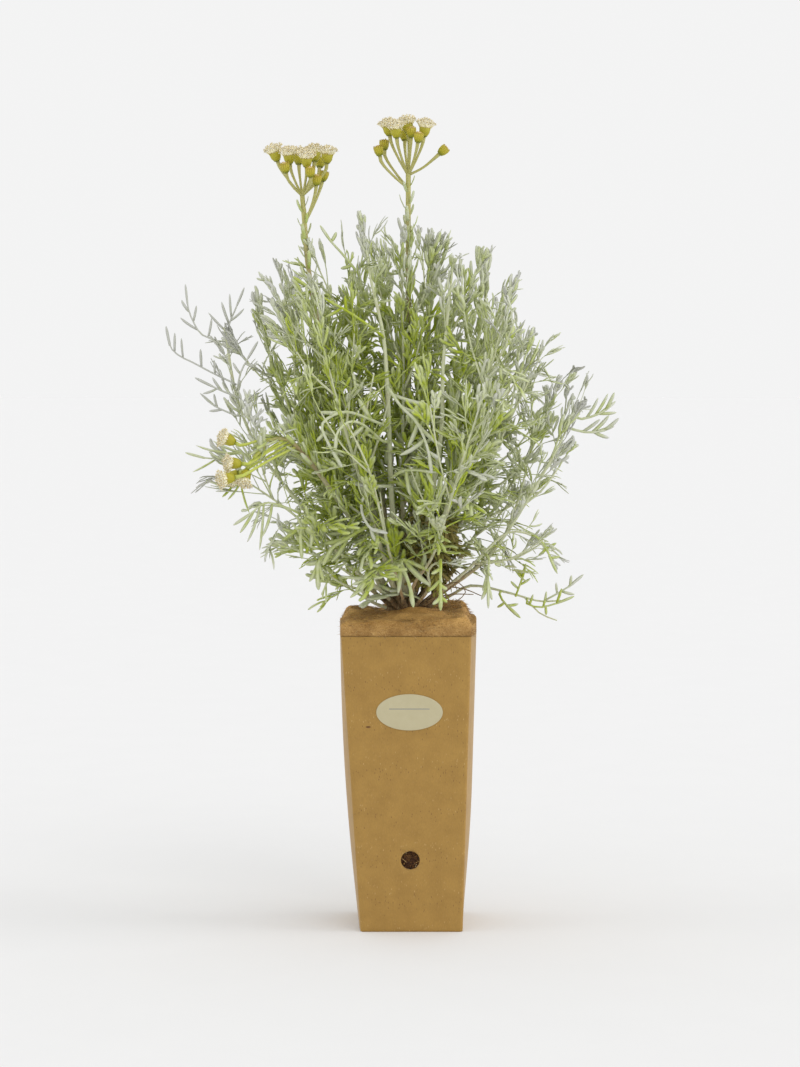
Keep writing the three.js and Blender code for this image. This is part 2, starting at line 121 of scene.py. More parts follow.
# Each shoot's stem radius, its habit, and the points that the stem passes through after it
# leaves the crown, in millimetres
SHOOTS = {
    "left_outer_shoot": (1.5, "sparse", [
        (-83, -8, 316), (-114, -14, 358), (-129, -15, 394), (-139, -10, 448)]),
    "left_low_shoot": (1.4, "spreading", [(-49, -30, 274), (-88, -46, 312), (-128, -48, 340)]),
    "left_sagging_shoot": (1.3, "trimmed", [(-42, -24, 262), (-69, -40, 280), (-84, -46, 284)]),
    "left_rim_shoot": (1.5, "tufted", [(-50, 5, 304), (-85, 8, 371), (-110, 0, 440)]),
    "left_mass_shoot": (1.6, "tufted", [(-43, 25, 310), (-69, 34, 386), (-96, 25, 470)]),
    "left_front_shoot": (1.6, "tufted", [(-32, -32, 316), (-52, -42, 384), (-73, -30, 465)]),
    "left_back_shoot": (1.6, "tufted", [(-34, 45, 302), (-50, 76, 378), (-65, 82, 460)]),
    "long_pale_shoot": (1.9, "leggy", [
        (-13, -16, 299), (-18, -24, 404), (-21, -20, 442), (-30, -12, 483), (-36, -4, 522)]),
    "centre_left_shoot": (1.7, "tufted", [(-20, 10, 311), (-37, 14, 394), (-47, 8, 490)]),
    "centre_back_shoot": (1.7, "tufted", [(-8, 36, 302), (-12, 54, 393), (-18, 56, 482)]),
    "centre_shoot": (1.7, "tufted", [(-7, -4, 319), (-6, 0, 409), (-7, 0, 500)]),
    "centre_right_shoot": (1.7, "tufted", [(2, 12, 318), (11, 20, 401), (16, 16, 500)]),
    "pale_right_shoot": (1.8, "leggy", [
        (12, -18, 305), (22, -28, 372), (23, -26, 416), (30, -14, 490)]),
    "right_mass_shoot": (1.6, "tufted", [(22, 20, 311), (42, 32, 394), (57, 26, 474)]),
    "right_front_shoot": (1.6, "tufted", [(24, -26, 309), (47, -40, 380), (70, -34, 462)]),
    "right_back_shoot": (1.6, "tufted", [(22, 48, 301), (49, 80, 370), (70, 88, 434)]),
    "right_upper_shoot": (1.6, "trimmed", [(38, 8, 304), (67, 14, 364), (96, 10, 425)]),
    "right_outer_shoot": (1.6, "trimmed", [
        (52, -10, 272), (64, -14, 286), (99, -20, 342), (124, -14, 390)]),
    "right_outer_back_shoot": (1.5, "trimmed", [(44, 26, 284), (83, 44, 340), (112, 46, 404)]),
    "right_low_shoot": (1.3, "wispy", [
        (43, -24, 270), (72, -34, 297), (90, -38, 294), (102, -40, 280)]),
    "right_lowest_shoot": (1.2, "wispy", [(44, 8, 254), (74, 2, 249), (97, 0, 243), (112, -4, 244)]),
    "front_left_shoot": (1.15, "spreading", [(-17, -45, 285), (-31, -82, 345), (-46, -94, 378)]),
    "front_right_shoot": (1.15, "spreading", [(14, -40, 277), (30, -80, 330), (42, -94, 372)]),
    "front_drooping_shoot": (1.2, "wispy", [(12, -32, 268), (19, -46, 275), (22, -57, 262)]),
}

# Leaves that stand out, by shoot. Each grows from the nearest point of its shoot's stem: the y that
# the leaf reaches, its wool, the width of its lobes, the x and z of points along its midrib, and
# the lobes, each with the share of the midrib where it starts and the x and z of its tip
SHAPED_LEAVES = {
    "long_pale_shoot": [
        (-80, 0.62, 3.1, [(-20, 376), (-49, 386), (-65, 377), (-61, 365), (-51, 348)],
         [(0.5, -67, 386), (0.58, -59, 386), (0.3, -39, 396), (0.75, -69, 365)]),
        (-84, 0.55, 3.0, [(-22, 365), (-36, 377), (-45, 379), (-54, 371), (-55, 360)],
         [(0.5, -45, 367), (0.3, -33, 370)]),
        (-82, 0.7, 3.0, [(-17, 403), (-8, 390), (3, 379), (11, 361), (14, 344)],
         [(0.3, 21, 389), (0.42, 23, 382), (0.6, 23, 361), (0.62, -3, 360), (0.75, -9, 355),
          (0.85, 21, 352)]),
        (-76, 0.45, 2.9, [(-14, 338), (-6, 343), (3, 344), (16, 343)],
         [(0.6, -1, 325), (0.9, 16, 333)]),
        (-74, 0.8, 3.0, [(-17, 331), (-28, 331), (-36, 322), (-36, 312), (-29, 301), (-19, 299)],
         [(0.2, -44, 333), (0.85, -26, 292)]),
        (-40, 0.25, 2.9, [(-17, 333), (-10, 334), (-2, 331)],
         []),
        (-30, 0.12, 2.9, [(-21, 441), (-48, 460), (-61, 467), (-86, 484)],
         [(0.8, -88, 471), (0.5, -64, 455), (0.45, -49, 471)]),
    ],
    "centre_left_shoot": [
        (-8, 0.5, 2.6, [(-41, 489), (-51, 502), (-61, 513), (-67, 522)],
         [(0.75, -56, 519), (0.3, -53, 492)]),
    ],
    "front_left_shoot": [
        (-62, 0.5, 3.0, [(-9, 274), (-20, 266), (-32, 264), (-42, 261)],
         [(0.5, -52, 266), (0.75, -45, 251), (0.3, -33, 276)]),
    ],
    "front_drooping_shoot": [
        (-55, 0.4, 4.0, [(-8, 277), (-5, 268), (-1, 257), (1, 245)],
         [(0.4, -10, 252), (0.35, 14, 258), (0.1, 10, 281)]),
        (-58, 0.3, 3.0, [(21, 278), (21, 264), (21, 243)],
         [(0.5, 12, 255), (0.6, 26, 256), (0.8, 15, 246), (0.8, 26, 247), (0.3, 14, 268)]),
    ],
    "left_front_shoot": [
        (-60, 0.3, 3.6, [(-39, 298), (-49, 292), (-58, 287), (-64, 276)],
         [(0.4, -67, 289), (0.5, -59, 276), (0.2, -63, 296)]),
    ],
    "left_sagging_shoot": [
        (-58, 0.4, 3.6, [(-54, 277), (-63, 281), (-68, 277), (-68, 258)],
         [(0.3, -79, 274), (0.6, -75, 262), (0.6, -64, 263)]),
        (-62, 0.35, 3.4, [(-70, 313), (-79, 306), (-81, 293), (-80, 281)],
         [(0.2, -95, 301), (0.45, -96, 291), (0.35, -71, 294), (0.5, -74, 287)]),
    ],
    "left_low_shoot": [
        (-66, 0.5, 2.2, [(-81, 311), (-93, 317), (-107, 320), (-116, 313), (-128, 305)],
         [(0.6, -111, 285), (0.65, -120, 291), (0.75, -125, 298), (0.5, -109, 295)]),
        (-60, 0.2, 1.8, [(-121, 338), (-128, 332), (-136, 332), (-148, 336)],
         [(0.3, -134, 322), (0.3, -118, 312), (0.5, -138, 324)]),
        (-58, 0.5, 1.8, [(-122, 355), (-137, 354), (-147, 352), (-163, 356)],
         [(0.35, -157, 362), (0.3, -145, 365), (0.6, -160, 342)]),
    ],
    "left_outer_shoot": [
        (-22, 1.15, 2.0, [(-129, 405), (-149, 415), (-162, 422), (-172, 427), (-178, 433), (-181, 447)],
         [(0.75, -175, 444), (0.65, -170, 440), (0.45, -156, 432), (0.3, -146, 424)]),
        (-18, 1.1, 2.0, [(-134, 430), (-145, 438), (-156, 443), (-162, 453), (-165, 461), (-167, 478)],
         [(0.72, -170, 468), (0.6, -159, 464), (0.5, -171, 455), (0.35, -148, 455)]),
        (-6, 1.1, 2.0, [(-136, 435), (-136, 449), (-132, 459), (-125, 476)],
         [(0.5, -135, 473), (0.4, -141, 467), (0.25, -151, 459), (0.45, -124, 462)]),
        (-28, 1.0, 2.0, [(-129, 403), (-126, 415), (-114, 436)],
         [(0.6, -116, 419), (0.4, -132, 422)]),
        (-30, 1.05, 2.0, [(-128, 396), (-140, 401), (-158, 410)],
         [(0.6, -154, 399), (0.5, -147, 411)]),
        (-24, 1.05, 2.0, [(-127, 382), (-138, 386), (-149, 392), (-155, 398)],
         [(0.5, -150, 386), (0.6, -146, 399)]),
    ],
    "right_outer_shoot": [
        (-16, 0.6, 2.6, [(124, 380), (134, 382), (143, 386), (150, 392)],
         [(0.3, 138, 396), (0.5, 146, 399), (0.6, 152, 385), (0.75, 150, 400)]),
        (-12, 0.7, 2.6, [(121, 372), (132, 370), (141, 371), (149, 374)],
         [(0.35, 140, 380), (0.55, 147, 383), (0.6, 147, 366), (0.8, 154, 381)]),
    ],
    "right_low_shoot": [
        (-52, 0.5, 2.5, [(57, 278), (56, 268), (56, 257), (56, 244)],
         [(0.6, 51, 248), (0.6, 59, 248), (0.4, 52, 254)]),
        (-48, 0.3, 2.1, [(89, 296), (97, 289), (101, 280), (106, 269)],
         [(0.25, 100, 295), (0.5, 106, 290), (0.7, 109, 280), (0.5, 93, 280)]),
    ],
    "right_lowest_shoot": [
        (-10, 0.3, 2.2, [(86, 242), (95, 239), (108, 242), (120, 247)],
         [(0.2, 91, 249), (0.45, 101, 251), (0.7, 112, 254), (0.5, 101, 233)]),
        (-14, 0.25, 2.2, [(78, 247), (81, 256), (84, 265), (85, 271)],
         [(0.4, 74, 259), (0.5, 89, 261), (0.7, 79, 268)]),
        (-12, 0.7, 2.2, [(100, 244), (110, 250), (119, 256), (127, 263)],
         [(0.4, 108, 258), (0.5, 122, 249), (0.7, 119, 264)]),
        (-16, 0.25, 2.4, [(66, 248), (71, 241), (80, 233)],
         [(0.5, 64, 239), (0.6, 80, 242)]),
    ],
}

# Leafless twigs that hang over the mat at the right, each as the points that it passes through
DRY_TWIGS = [
    [(4, -9, 238), (18, -16, 247), (32, -20, 250), (46, -22, 250)],
    [(6, -6, 240), (22, -14, 254), (38, -18, 254), (53, -16, 248)],
    [(5, -8, 240), (24, -20, 256), (35, -26, 259), (40, -28, 252), (34, -30, 246)],
]

# The flowering stalks: stem radius, bare share and route as above, then the heads: foot, facing,
# whether the head is open, and the share of the stalk where its branch forks off
TOP_FORK = 0.985
STALKS = {
    "left": (1.6, 0.62, [(-31, 0, 319), (-61, -4, 409), (-77, -6, 494), (-79, -6, 520), (-81.5, -6, 550)], [
        ((-99.5, -2, 571), (-0.33, -0.1, 0.94), True, TOP_FORK),
        ((-90, -9, 568.5), (-0.12, -0.2, 0.97), True, TOP_FORK),
        ((-84, 4, 569), (-0.05, 0.15, 0.98), True, TOP_FORK),
        ((-77.6, -15, 565.5), (0.02, -0.2, 0.98), True, TOP_FORK),
        ((-72.6, 9, 571.5), (0.08, 0.2, 0.98), True, TOP_FORK),
        ((-63, -5, 569), (0.1, -0.06, 0.99), True, TOP_FORK),
        ((-69, 21, 568), (0.1, 0.35, 0.93), True, TOP_FORK),
        ((-92.5, -17, 561.5), (-0.2, -0.3, 0.93), False, TOP_FORK),
        ((-74.5, -21, 558), (0, -0.35, 0.94), False, TOP_FORK),
        ((-70.5, -14, 552.5), (0.1, -0.2, 0.97), False, 0.92),
        ((-66.5, 1, 556.5), (0.25, 0, 0.97), False, 0.92),
    ]),
    "right": (1.7, 0.62, [(-2, 24, 333), (-2, 15, 431), (-2.5, 10, 506), (-2.5, 6, 540), (-2.5, 3, 566)], [
        ((-16.2, 1, 590), (-0.18, 0.05, 0.98), True, TOP_FORK),
        ((-11, -9, 587.5), (-0.12, -0.15, 0.98), True, TOP_FORK),
        ((-2.5, 4, 592), (-0.1, 0.05, 0.99), True, TOP_FORK),
        ((9, -2, 589), (0.14, -0.05, 0.98), True, TOP_FORK),
        ((-5, 15, 587.5), (0, 0.25, 0.96), True, TOP_FORK),
        ((-0.5, -8, 588), (0.04, -0.12, 0.99), False, TOP_FORK),
        ((4.5, -13, 584), (0.15, -0.25, 0.95), False, TOP_FORK),
        ((-23.5, -2, 575), (-0.2, -0.1, 0.97), False, 0.955),
        ((-20.2, 7, 580), (-0.05, 0.1, 0.98), False, 0.955),
        ((20.5, 0, 576.5), (0.75, 0, 0.66), False, TOP_FORK),
    ]),
    "drooping": (1.4, 0.6, [(-45, -32, 306), (-80, -62, 357), (-92, -70, 367), (-103, -74, 365),
                            (-114, -77, 353)], [
        ((-127, -77, 364), (-0.88, -0.2, 0.4), True, 0.88),
        ((-122.5, -80, 349), (-0.96, -0.25, 0.1), True, 0.83),
        ((-127, -88, 339.5), (-0.9, -0.4, -0.1), True, 0.79),
        ((-118.6, -78, 345), (-0.25, -0.3, -0.92), True, 0.85),
        ((-124.5, -68, 342), (-0.75, 0.5, -0.4), True, 0.81),
    ]),
}


def linear(hex_colour):
    """The linear RGBA of an sRGB colour written as six hex digits."""
    channels = [int(hex_colour[i:i + 2], 16) / 255 for i in (0, 2, 4)]
    return (*[c / 12.92 if c <= 0.04045 else ((c + 0.055) / 1.055) ** 2.4 for c in channels], 1.0)


# Settings

def colour_setting(name, description, hex_colour):
    """A colour that the user can change."""
    return FloatVectorProperty(name=name, description=description, subtype="COLOR", size=4,
                               min=0, max=1, default=linear(hex_colour))


def length_setting(name, description, millimetres):
    """A length that the user can change."""
    return FloatProperty(name=name, description=description, unit="LENGTH", precision=5,
                         default=millimetres * MM)


class CartonSettings(bpy.types.PropertyGroup):
    board: colour_setting("Board", "Kraft liner of the carton", "aa8541")
    board_thickness: length_setting("Board thickness", "Thickness of the corrugated board",
                                    BOARD_THICKNESS)
    hole_radius: length_setting("Hole radius", "Radius of the round hole low in the front", 7)
    hole_x: length_setting("Hole across", "Place of the hole across the front", -1)
    hole_height: length_setting("Hole height", "Height of the middle of the hole", 54)
    label: colour_setting("Label", "Paper of the oval label", "bab08c")
    rule: colour_setting("Rule", "Ink of the ruled writing line on the label", "59687c")


class FillSettings(bpy.types.PropertyGroup):
    soil: colour_setting("Soil", "Moist potting soil", "4f2f14")
    fibre: colour_setting("Mulch fibre", "Felted fibre of the mulch mat", "bd965a")
    straw: colour_setting("Loose fibre", "Pale fibres that stick out of the mat", "cbb079")
    bark: colour_setting("Bark", "Bark of the woody crown", "826a48")


class FoliageSettings(bpy.types.PropertyGroup):
    silver: colour_setting("Silver", "Leaf under its thickest wool", "dfe0d6")
    # the green is bright and yellow partly as painted light, for light shining through thin leaves in the
    # shade
    green: colour_setting("Green", "Leaf where its wool is thin", "adbc30")
    stem: colour_setting("Stem", "Woolly young stem", "ced2ae")
    fullness: FloatProperty(name="Fullness", description="How close the leaves stand, as a factor",
                            default=1.0, min=0.3, max=2.0)
    leaf_scale: FloatProperty(name="Leaf size", description="Length of the leaves, as a factor",
                              default=1.0, min=0.5, max=1.5)


class FlowerSettings(bpy.types.PropertyGroup):
    stalk: colour_setting("Stalk", "Freshest part of a flowering stalk", "c2cc50")
    bract: colour_setting("Bracts", "Bracts of the flower cup", "b5ac26")
    floret: colour_setting("Florets", "Open florets", "faf2cc")
    florets: IntProperty(name="Florets", description="Florets in an open head", default=40, min=5)


class StageSettings(bpy.types.PropertyGroup):
    floor: colour_setting("Floor", "Plain pale floor", "e9e9e9")
    distance: length_setting("Camera distance", "From the camera to the plant's axis", 2000)
    aim_x: length_setting("Aim across", "Where the camera looks, across", -8.6)
    aim_z: length_setting("Aim height", "Where the camera looks, above the floor", 294)
    tilt: FloatProperty(name="Camera tilt", description="How far the camera looks down",
                        unit="ROTATION", default=math.radians(3.5))
    frame_height: length_setting("Frame height", "Height that the picture shows at the axis", 800)


# Materials

def add_node(tree, kind, inputs=None, stops=None, **settings):
    """Add a node with its settings, its inputs and a ramp's colour stops. An input is a value, a
    colour in hex, a socket, or a node whose first output in use is meant."""
    node = tree.nodes.new("ShaderNode" + kind)
    for name, value in settings.items():
        setattr(node, name, value)
    if stops:
        elements = node.color_ramp.elements
        while len(elements) < len(stops):
            elements.new(1.0)
        for element, (position, colour) in zip(elements, stops):
            element.position = position
            element.color = linear(colour) if isinstance(colour, str) else colour
    for key, value in (inputs or {}).items():
        if isinstance(value, str):
            value = linear(value)
        if isinstance(value, bpy.types.Node):
            value = next(socket for socket in value.outputs if socket.enabled)
        if isinstance(value, bpy.types.NodeSocket):
            tree.links.new(value, node.inputs[key])
        else:
            node.inputs[key].default_value = value
    return node


# Each maker below gets the function that adds a node, the object's own coordinates and the scene
# with its settings, and returns the shader. A Mix node takes its factor at input 0, two colours at
# 6 and 7, and two vectors at 4 and 5.

def kraft_board(add, place, scene):
    """Kraft linerboard, machine-made and unbleached: a matte tan with a fine flecked fibre, a
    cloudy formation and the faint ribs of the fluting behind it."""
    # clouds of fibre about 14 mm across
    clouds = add("TexNoise", {"Vector": place, "Scale": 1 / (14 * MM), "Detail": 5.0})
    # short fibres lie along the height of the panel, about 1.5 by 0.5 mm
    stretched = add("Mapping", {"Vector": place, "Scale": (2.2, 2.2, 0.8)})
    fibre = add("TexNoise", {"Vector": stretched, "Scale": 1 / (1.6 * MM), "Detail": 3.0, "Roughness": 0.7})
    # flecks of shive, about 3 mm apart and half a millimetre wide
    flecks = add("TexVoronoi", {"Vector": stretched, "Scale": 1 / (3.2 * MM)})
    fleck_mask = add("ValToRGB", {"Fac": flecks}, stops=[(0.1, "ffffff"), (0.24, "000000")])
    fleck_tone = add("ValToRGB", {"Fac": flecks.outputs["Color"]},
                     stops=[(0.33, "7c5a30"), (0.36, "a98446"), (0.66, "ac884b"), (0.7, "b99759"),
                            (0.85, "c09f65")])
    formation = add("MapRange", {"Value": clouds, "From Min": 0.2, "From Max": 0.66})
    light = add("Mix", {0: formation, 6: "9c7838", 7: scene.potted_carton.board}, data_type="RGBA")
    grain = add("ValToRGB", {"Fac": fibre}, stops=[(0.3, (0.86, 0.84, 0.82, 1)), (0.7, (1.1, 1.1, 1.1, 1))])
    base = add("Mix", {0: 0.75, 6: light, 7: grain}, data_type="RGBA", blend_type="MULTIPLY")
    flecked = add("Mix", {0: fleck_mask, 6: base, 7: fleck_tone}, data_type="RGBA")
    # one scrap of bark, 4 mm long, left in the pulp of the front panel
    from_scrap = add("VectorMath", {0: place, 1: tuple(c * MM for c in BARK_SCRAP)}, operation="SUBTRACT")
    flattened = add("VectorMath", {0: from_scrap, 1: (1, 0.3, 2.6)}, operation="MULTIPLY")
    reach = add("VectorMath", {0: flattened}, operation="LENGTH")
    scrap = add("MapRange", {"Value": reach, "From Min": 1.5 * MM, "From Max": 2.2 * MM,
                             "To Min": 0.85, "To Max": 0.0})
    scrapped = add("Mix", {0: scrap, 6: flecked, 7: "5a3212"}, data_type="RGBA")
    # the flutes stand 4 mm apart and run up the panels
    ribs = add("TexWave", {"Vector": place, "Scale": 1 / (8 * math.pi * MM), "Distortion": 0.6},
               bands_direction="DIAGONAL")
    relief = add("Math", {0: fibre, 1: ribs.outputs["Fac"]}, operation="ADD")
    bump = add("Bump", {"Height": relief, "Strength": 0.12, "Distance": 0.1 * MM})
    roughness = add("MapRange", {"Value": fibre, "To Min": 0.6, "To Max": 0.78})
    return add("BsdfPrincipled", {"Base Color": scrapped, "Roughness": roughness, "Normal": bump, "IOR": 1.47,
                                  "Specular IOR Level": 0.5, "Sheen Weight": 0.2, "Sheen Roughness": 0.35})


def label_paper(add, place, scene):
    """Uncoated cream label stock, calendered: nearly smooth, with a hint of formation."""
    clouds = add("TexNoise", {"Vector": place, "Scale": 1 / (6 * MM), "Detail": 3.0})
    tone = add("Mix", {0: clouds, 6: scene.potted_carton.label, 7: "c3ba98"}, data_type="RGBA")
    grit = add("TexNoise", {"Vector": place, "Scale": 1 / (0.5 * MM)})
    bump = add("Bump", {"Height": grit, "Strength": 0.08, "Distance": 0.05 * MM})
    return add("BsdfPrincipled", {"Base Color": tone, "Roughness": 0.5, "Normal": bump, "IOR": 1.5})


def label_ink(add, place, scene):
    """Slate-blue printing ink, laid on thinly, so the paper's formation shows through."""
    speckle = add("TexNoise", {"Vector": place, "Scale": 1 / (0.6 * MM)})
    tone = add("Mix", {0: speckle, 6: scene.potted_carton.rule, 7: "8793a0"}, data_type="RGBA")
    return add("BsdfPrincipled", {"Base Color": tone, "Roughness": 0.6})


def potting_soil(add, place, scene):
    """Moist peat and bark potting soil, crumbled: near-black brown with paler bark and root bits."""
    # crumbs about 2 mm across, each with its own tone
    crumbs = add("TexVoronoi", {"Vector": place, "Scale": 1 / (2 * MM)})
    tone = add("ValToRGB", {"Fac": crumbs.outputs["Color"]},
               stops=[(0.0, "301b0a"), (0.5, scene.potted_fill.soil), (0.8, "6f4c22"), (1.0, "a07c46")])
    bump = add("Bump", {"Height": crumbs, "Strength": 0.8, "Distance": 0.8 * MM})
    return add("BsdfPrincipled", {"Base Color": tone, "Roughness": 0.85, "Normal": bump})


def mulch_felt(add, place, scene):
    """Coir and jute fibre, needled into a felt: golden brown and hairy, with painted shade in the pits
    between the fibres, a painted light top and a painted darker rim."""
    warp = add("TexNoise", {"Vector": place, "Scale": 1 / (9 * MM), "Detail": 2.0})
    bent = add("Mix", {0: 0.04, 4: place, 5: warp.outputs["Color"]}, data_type="VECTOR")
    # fibres about 0.3 mm thick lie in two directions
    strands = []
    for scale in ((1.0, 0.12, 0.5), (0.12, 1.0, 0.5)):
        laid = add("Mapping", {"Vector": bent, "Scale": scale})
        strands.append(add("TexNoise", {"Vector": laid, "Scale": 1 / (0.9 * MM), "Detail": 4.0,
                                        "Roughness": 0.6}))
    fibre = add("Math", dict(enumerate(strands)), operation="MAXIMUM")
    # each fibre takes its own tan, and the pits between them, at the low end of the same pattern, get the
    # dark end: painted shade
    tone = add("ValToRGB", {"Fac": fibre},
               stops=[(0.4, "8f6a35"), (0.5, "ab834a"), (0.6, scene.potted_fill.fibre), (0.74, "d3af74")])
    patches = add("TexNoise", {"Vector": place, "Scale": 1 / (14 * MM), "Detail": 3.0})
    shade = add("ValToRGB", {"Fac": patches},
                stops=[(0.35, (0.66, 0.59, 0.48, 1)), (0.62, (1.08, 1.08, 1.08, 1))])
    colour = add("Mix", {0: 0.8, 6: tone, 7: shade}, data_type="RGBA", blend_type="MULTIPLY")
    # painted light: the top is painted up to half again lighter, as if lit, and the folded rim below it
    # darker, as painted shade
    height = add("SeparateXYZ", {"Vector": place})
    painted_top_light = add("MapRange", {"Value": height.outputs["Z"], "From Min": 226 * MM, "From Max": 238 * MM,
                                "To Min": 0.9, "To Max": 1.5})
    lit = add("VectorMath", {0: colour, "Scale": painted_top_light}, operation="SCALE")
    bump = add("Bump", {"Height": fibre, "Strength": 0.5, "Distance": 0.6 * MM})
    return add("BsdfPrincipled", {"Base Color": lit, "Roughness": 0.95, "Normal": bump})


def loose_fibre(add, place, scene):
    """Loose coir and straw fibre, dry: each strand a different tan, a little glossy."""
    strand = add("Attribute", attribute_name="tone")
    tone = add("ValToRGB", {"Fac": strand.outputs["Fac"]},
               stops=[(0.0, "8a6534"), (0.45, scene.potted_fill.fibre), (0.8, scene.potted_fill.straw),
                      (1.0, "e2d2ab")])
    mottle = add("TexNoise", {"Vector": place, "Scale": 1 / (2 * MM)})
    shade = add("MapRange", {"Value": mottle, "To Min": 0.8, "To Max": 1.15})
    colour = add("VectorMath", {0: tone, "Scale": shade}, operation="SCALE")
    return add("BsdfPrincipled", {"Base Color": colour, "Roughness": 0.6})


def young_bark(add, place, scene):
    """Young bark of a woody herb, grey-brown and fissured along the stem."""
    stretched = add("Mapping", {"Vector": place, "Scale": (1.0, 1.0, 0.25)})
    fissures = add("TexNoise", {"Vector": stretched, "Scale": 1 / (1.5 * MM), "Detail": 5.0,
                                "Roughness": 0.65})
    tone = add("ValToRGB", {"Fac": fissures},
               stops=[(0.3, "3d3021"), (0.5, scene.potted_fill.bark), (0.7, "a5977a")])
    bump = add("Bump", {"Height": fissures, "Strength": 0.7, "Distance": 0.4 * MM})
    return add("BsdfPrincipled", {"Base Color": tone, "Roughness": 0.85, "Normal": bump})


def felted_leaf(add, place, scene):
    """Living leaf under a felt of white hairs: matte silver with a soft sheen where the wool is thick, plain
    green where it has worn thin. The wool attribute says how thick it is; on the inner leaves it is set
    low partly as painted light, for light shining through them in the shade."""
    wool = add("Attribute", attribute_name="wool").outputs["Fac"]
    # patches of wool, drawn 5 mm across because single hairs are too fine to show
    tufts = add("TexNoise", {"Vector": place, "Scale": 1 / (5 * MM), "Detail": 2.0})
    worn = add("MapRange", {"Value": tufts, "From Min": 0.3, "From Max": 0.7,
                            "To Min": -0.17, "To Max": 0.17})
    # each lobe is greener at its foot and woollier at its tip
    along = add("Attribute", attribute_name="along").outputs["Fac"]
    tipward = add("MapRange", {"Value": along, "To Min": -0.2, "To Max": 0.14})
    patchy = add("Math", {0: worn, 1: tipward}, operation="ADD")
    cover = add("Math", {0: wool, 1: patchy}, operation="ADD", use_clamp=True)
    felted = add("Mix", {0: cover, 6: scene.potted_foliage.green, 7: scene.potted_foliage.silver},
                 data_type="RGBA")
    # the outermost leaves, whose wool is thickest, are drawn up to about a quarter darker
    greyed = add("MapRange", {"Value": wool, "From Min": 0.5, "From Max": 1.15,
                              "To Min": 1.0, "To Max": 0.72})
    colour = add("VectorMath", {0: felted, "Scale": greyed}, operation="SCALE")
    bump = add("Bump", {"Height": tufts, "Strength": 0.2, "Distance": 0.15 * MM})
    return add("BsdfPrincipled", {"Base Color": colour, "Roughness": 0.72, "Normal": bump,
                                  "Specular IOR Level": 0.3, "Sheen Weight": 0.2, "Sheen Roughness": 0.5})


def felted_stem(add, place, scene):
    """Woolly stem: pale grey-green felt above, worn to brown bark towards the foot. The age
    attribute runs from 0 at the tip to 1 at the crown."""
    age = add("Attribute", attribute_name="age").outputs["Fac"]
    stretched = add("Mapping", {"Vector": place, "Scale": (1.0, 1.0, 0.3)})
    patches = add("TexNoise", {"Vector": stretched, "Scale": 1 / (2.5 * MM), "Detail": 4.0})
    worn = add("MapRange", {"Value": patches, "From Min": 0.3, "From Max": 0.7,
                            "To Min": -0.25, "To Max": 0.25})
    amount = add("Math", {0: age, 1: worn}, operation="ADD", use_clamp=True)
    colour = add("ValToRGB", {"Fac": amount},
                 stops=[(0.0, scene.potted_foliage.stem), (0.35, "bdb894"), (0.6, "b39d76"), (1.0, "9c7f57")])
    bump = add("Bump", {"Height": patches, "Strength": 0.4, "Distance": 0.25 * MM})
    return add("BsdfPrincipled", {"Base Color": colour, "Roughness": 0.75, "Normal": bump,
                                  "Sheen Weight": 0.15, "Sheen Roughness": 0.5})


def downy_stalk(add, place, scene):
    """Flowering stalk: ribbed and thinly downy, yellow-green below the flowers and flushed
    red-brown lower down."""
    age = add("Attribute", attribute_name="age").outputs["Fac"]
    down = add("TexNoise", {"Vector": place, "Scale": 1 / (1.5 * MM), "Detail": 4.0})
    tone = add("ValToRGB", {"Fac": age},
               stops=[(0.0, scene.potted_flowers.stalk), (0.05, "b4b061"), (0.14, "a9a265"), (0.24, "a48b66"),
                      (0.5, "b1b18d")])
    pale = add("MapRange", {"Value": down, "From Min": 0.45, "From Max": 0.75, "To Max": 0.5})
    colour = add("Mix", {0: pale, 6: tone, 7: "ccc8a2"}, data_type="RGBA")
    bump = add("Bump", {"Height": down, "Strength": 0.3, "Distance": 0.2 * MM})
    return add("BsdfPrincipled", {"Base Color": colour, "Roughness": 0.6, "Normal": bump,
                                  "Sheen Weight": 0.1})


def waxy_bract(add, place, scene):
    """Bracts of a flower cup: smooth and waxy, olive yellow, greener at the foot and browned at
    the tip. The along attribute runs from foot to tip."""
    along = add("Attribute", attribute_name="along").outputs["Fac"]
    mottle = add("TexNoise", {"Vector": place, "Scale": 1 / (1 * MM), "Detail": 3.0})
    tone = add("ValToRGB", {"Fac": along},
               stops=[(0.0, "949a30"), (0.35, scene.potted_flowers.bract), (0.8, "c3b43c"), (1.0, "a8842a")])
    shade = add("MapRange", {"Value": mottle, "To Min": 0.75, "To Max": 1.2})
    colour = add("VectorMath", {0: tone, "Scale": shade}, operation="SCALE")
    return add("BsdfPrincipled", {"Base Color": colour, "Roughness": 0.5})


def cream_floret(add, place, scene):
    """Corolla of a disc floret: thin and satiny, cream with a flush of pink at the lobes. The
    along attribute runs from foot to tip."""
    along = add("Attribute", attribute_name="along").outputs["Fac"]
    mottle = add("TexNoise", {"Vector": place, "Scale": 1 / (1.5 * MM), "Detail": 2.0})
    tone = add("ValToRGB", {"Fac": along},
               stops=[(0.0, "dacd6e"), (0.5, scene.potted_flowers.floret), (0.88, "fffae6"), (1.0, "f1dfc6")])
    shade = add("MapRange", {"Value": mottle, "To Min": 0.93, "To Max": 1.05})
    colour = add("VectorMath", {0: tone, "Scale": shade}, operation="SCALE")
    return add("BsdfPrincipled", {"Base Color": colour, "Roughness": 0.55, "Sheen Weight": 0.1})


def anther_pollen(add, place, _scene):
    """Pollen-covered anther tubes: powdery, pale ochre."""
    grains = add("TexNoise", {"Vector": place, "Scale": 1 / (0.4 * MM)})
    tone = add("Mix", {0: grains, 6: "c4a168", 7: "e4d19c"}, data_type="RGBA")
    return add("BsdfPrincipled", {"Base Color": tone, "Roughness": 0.9})


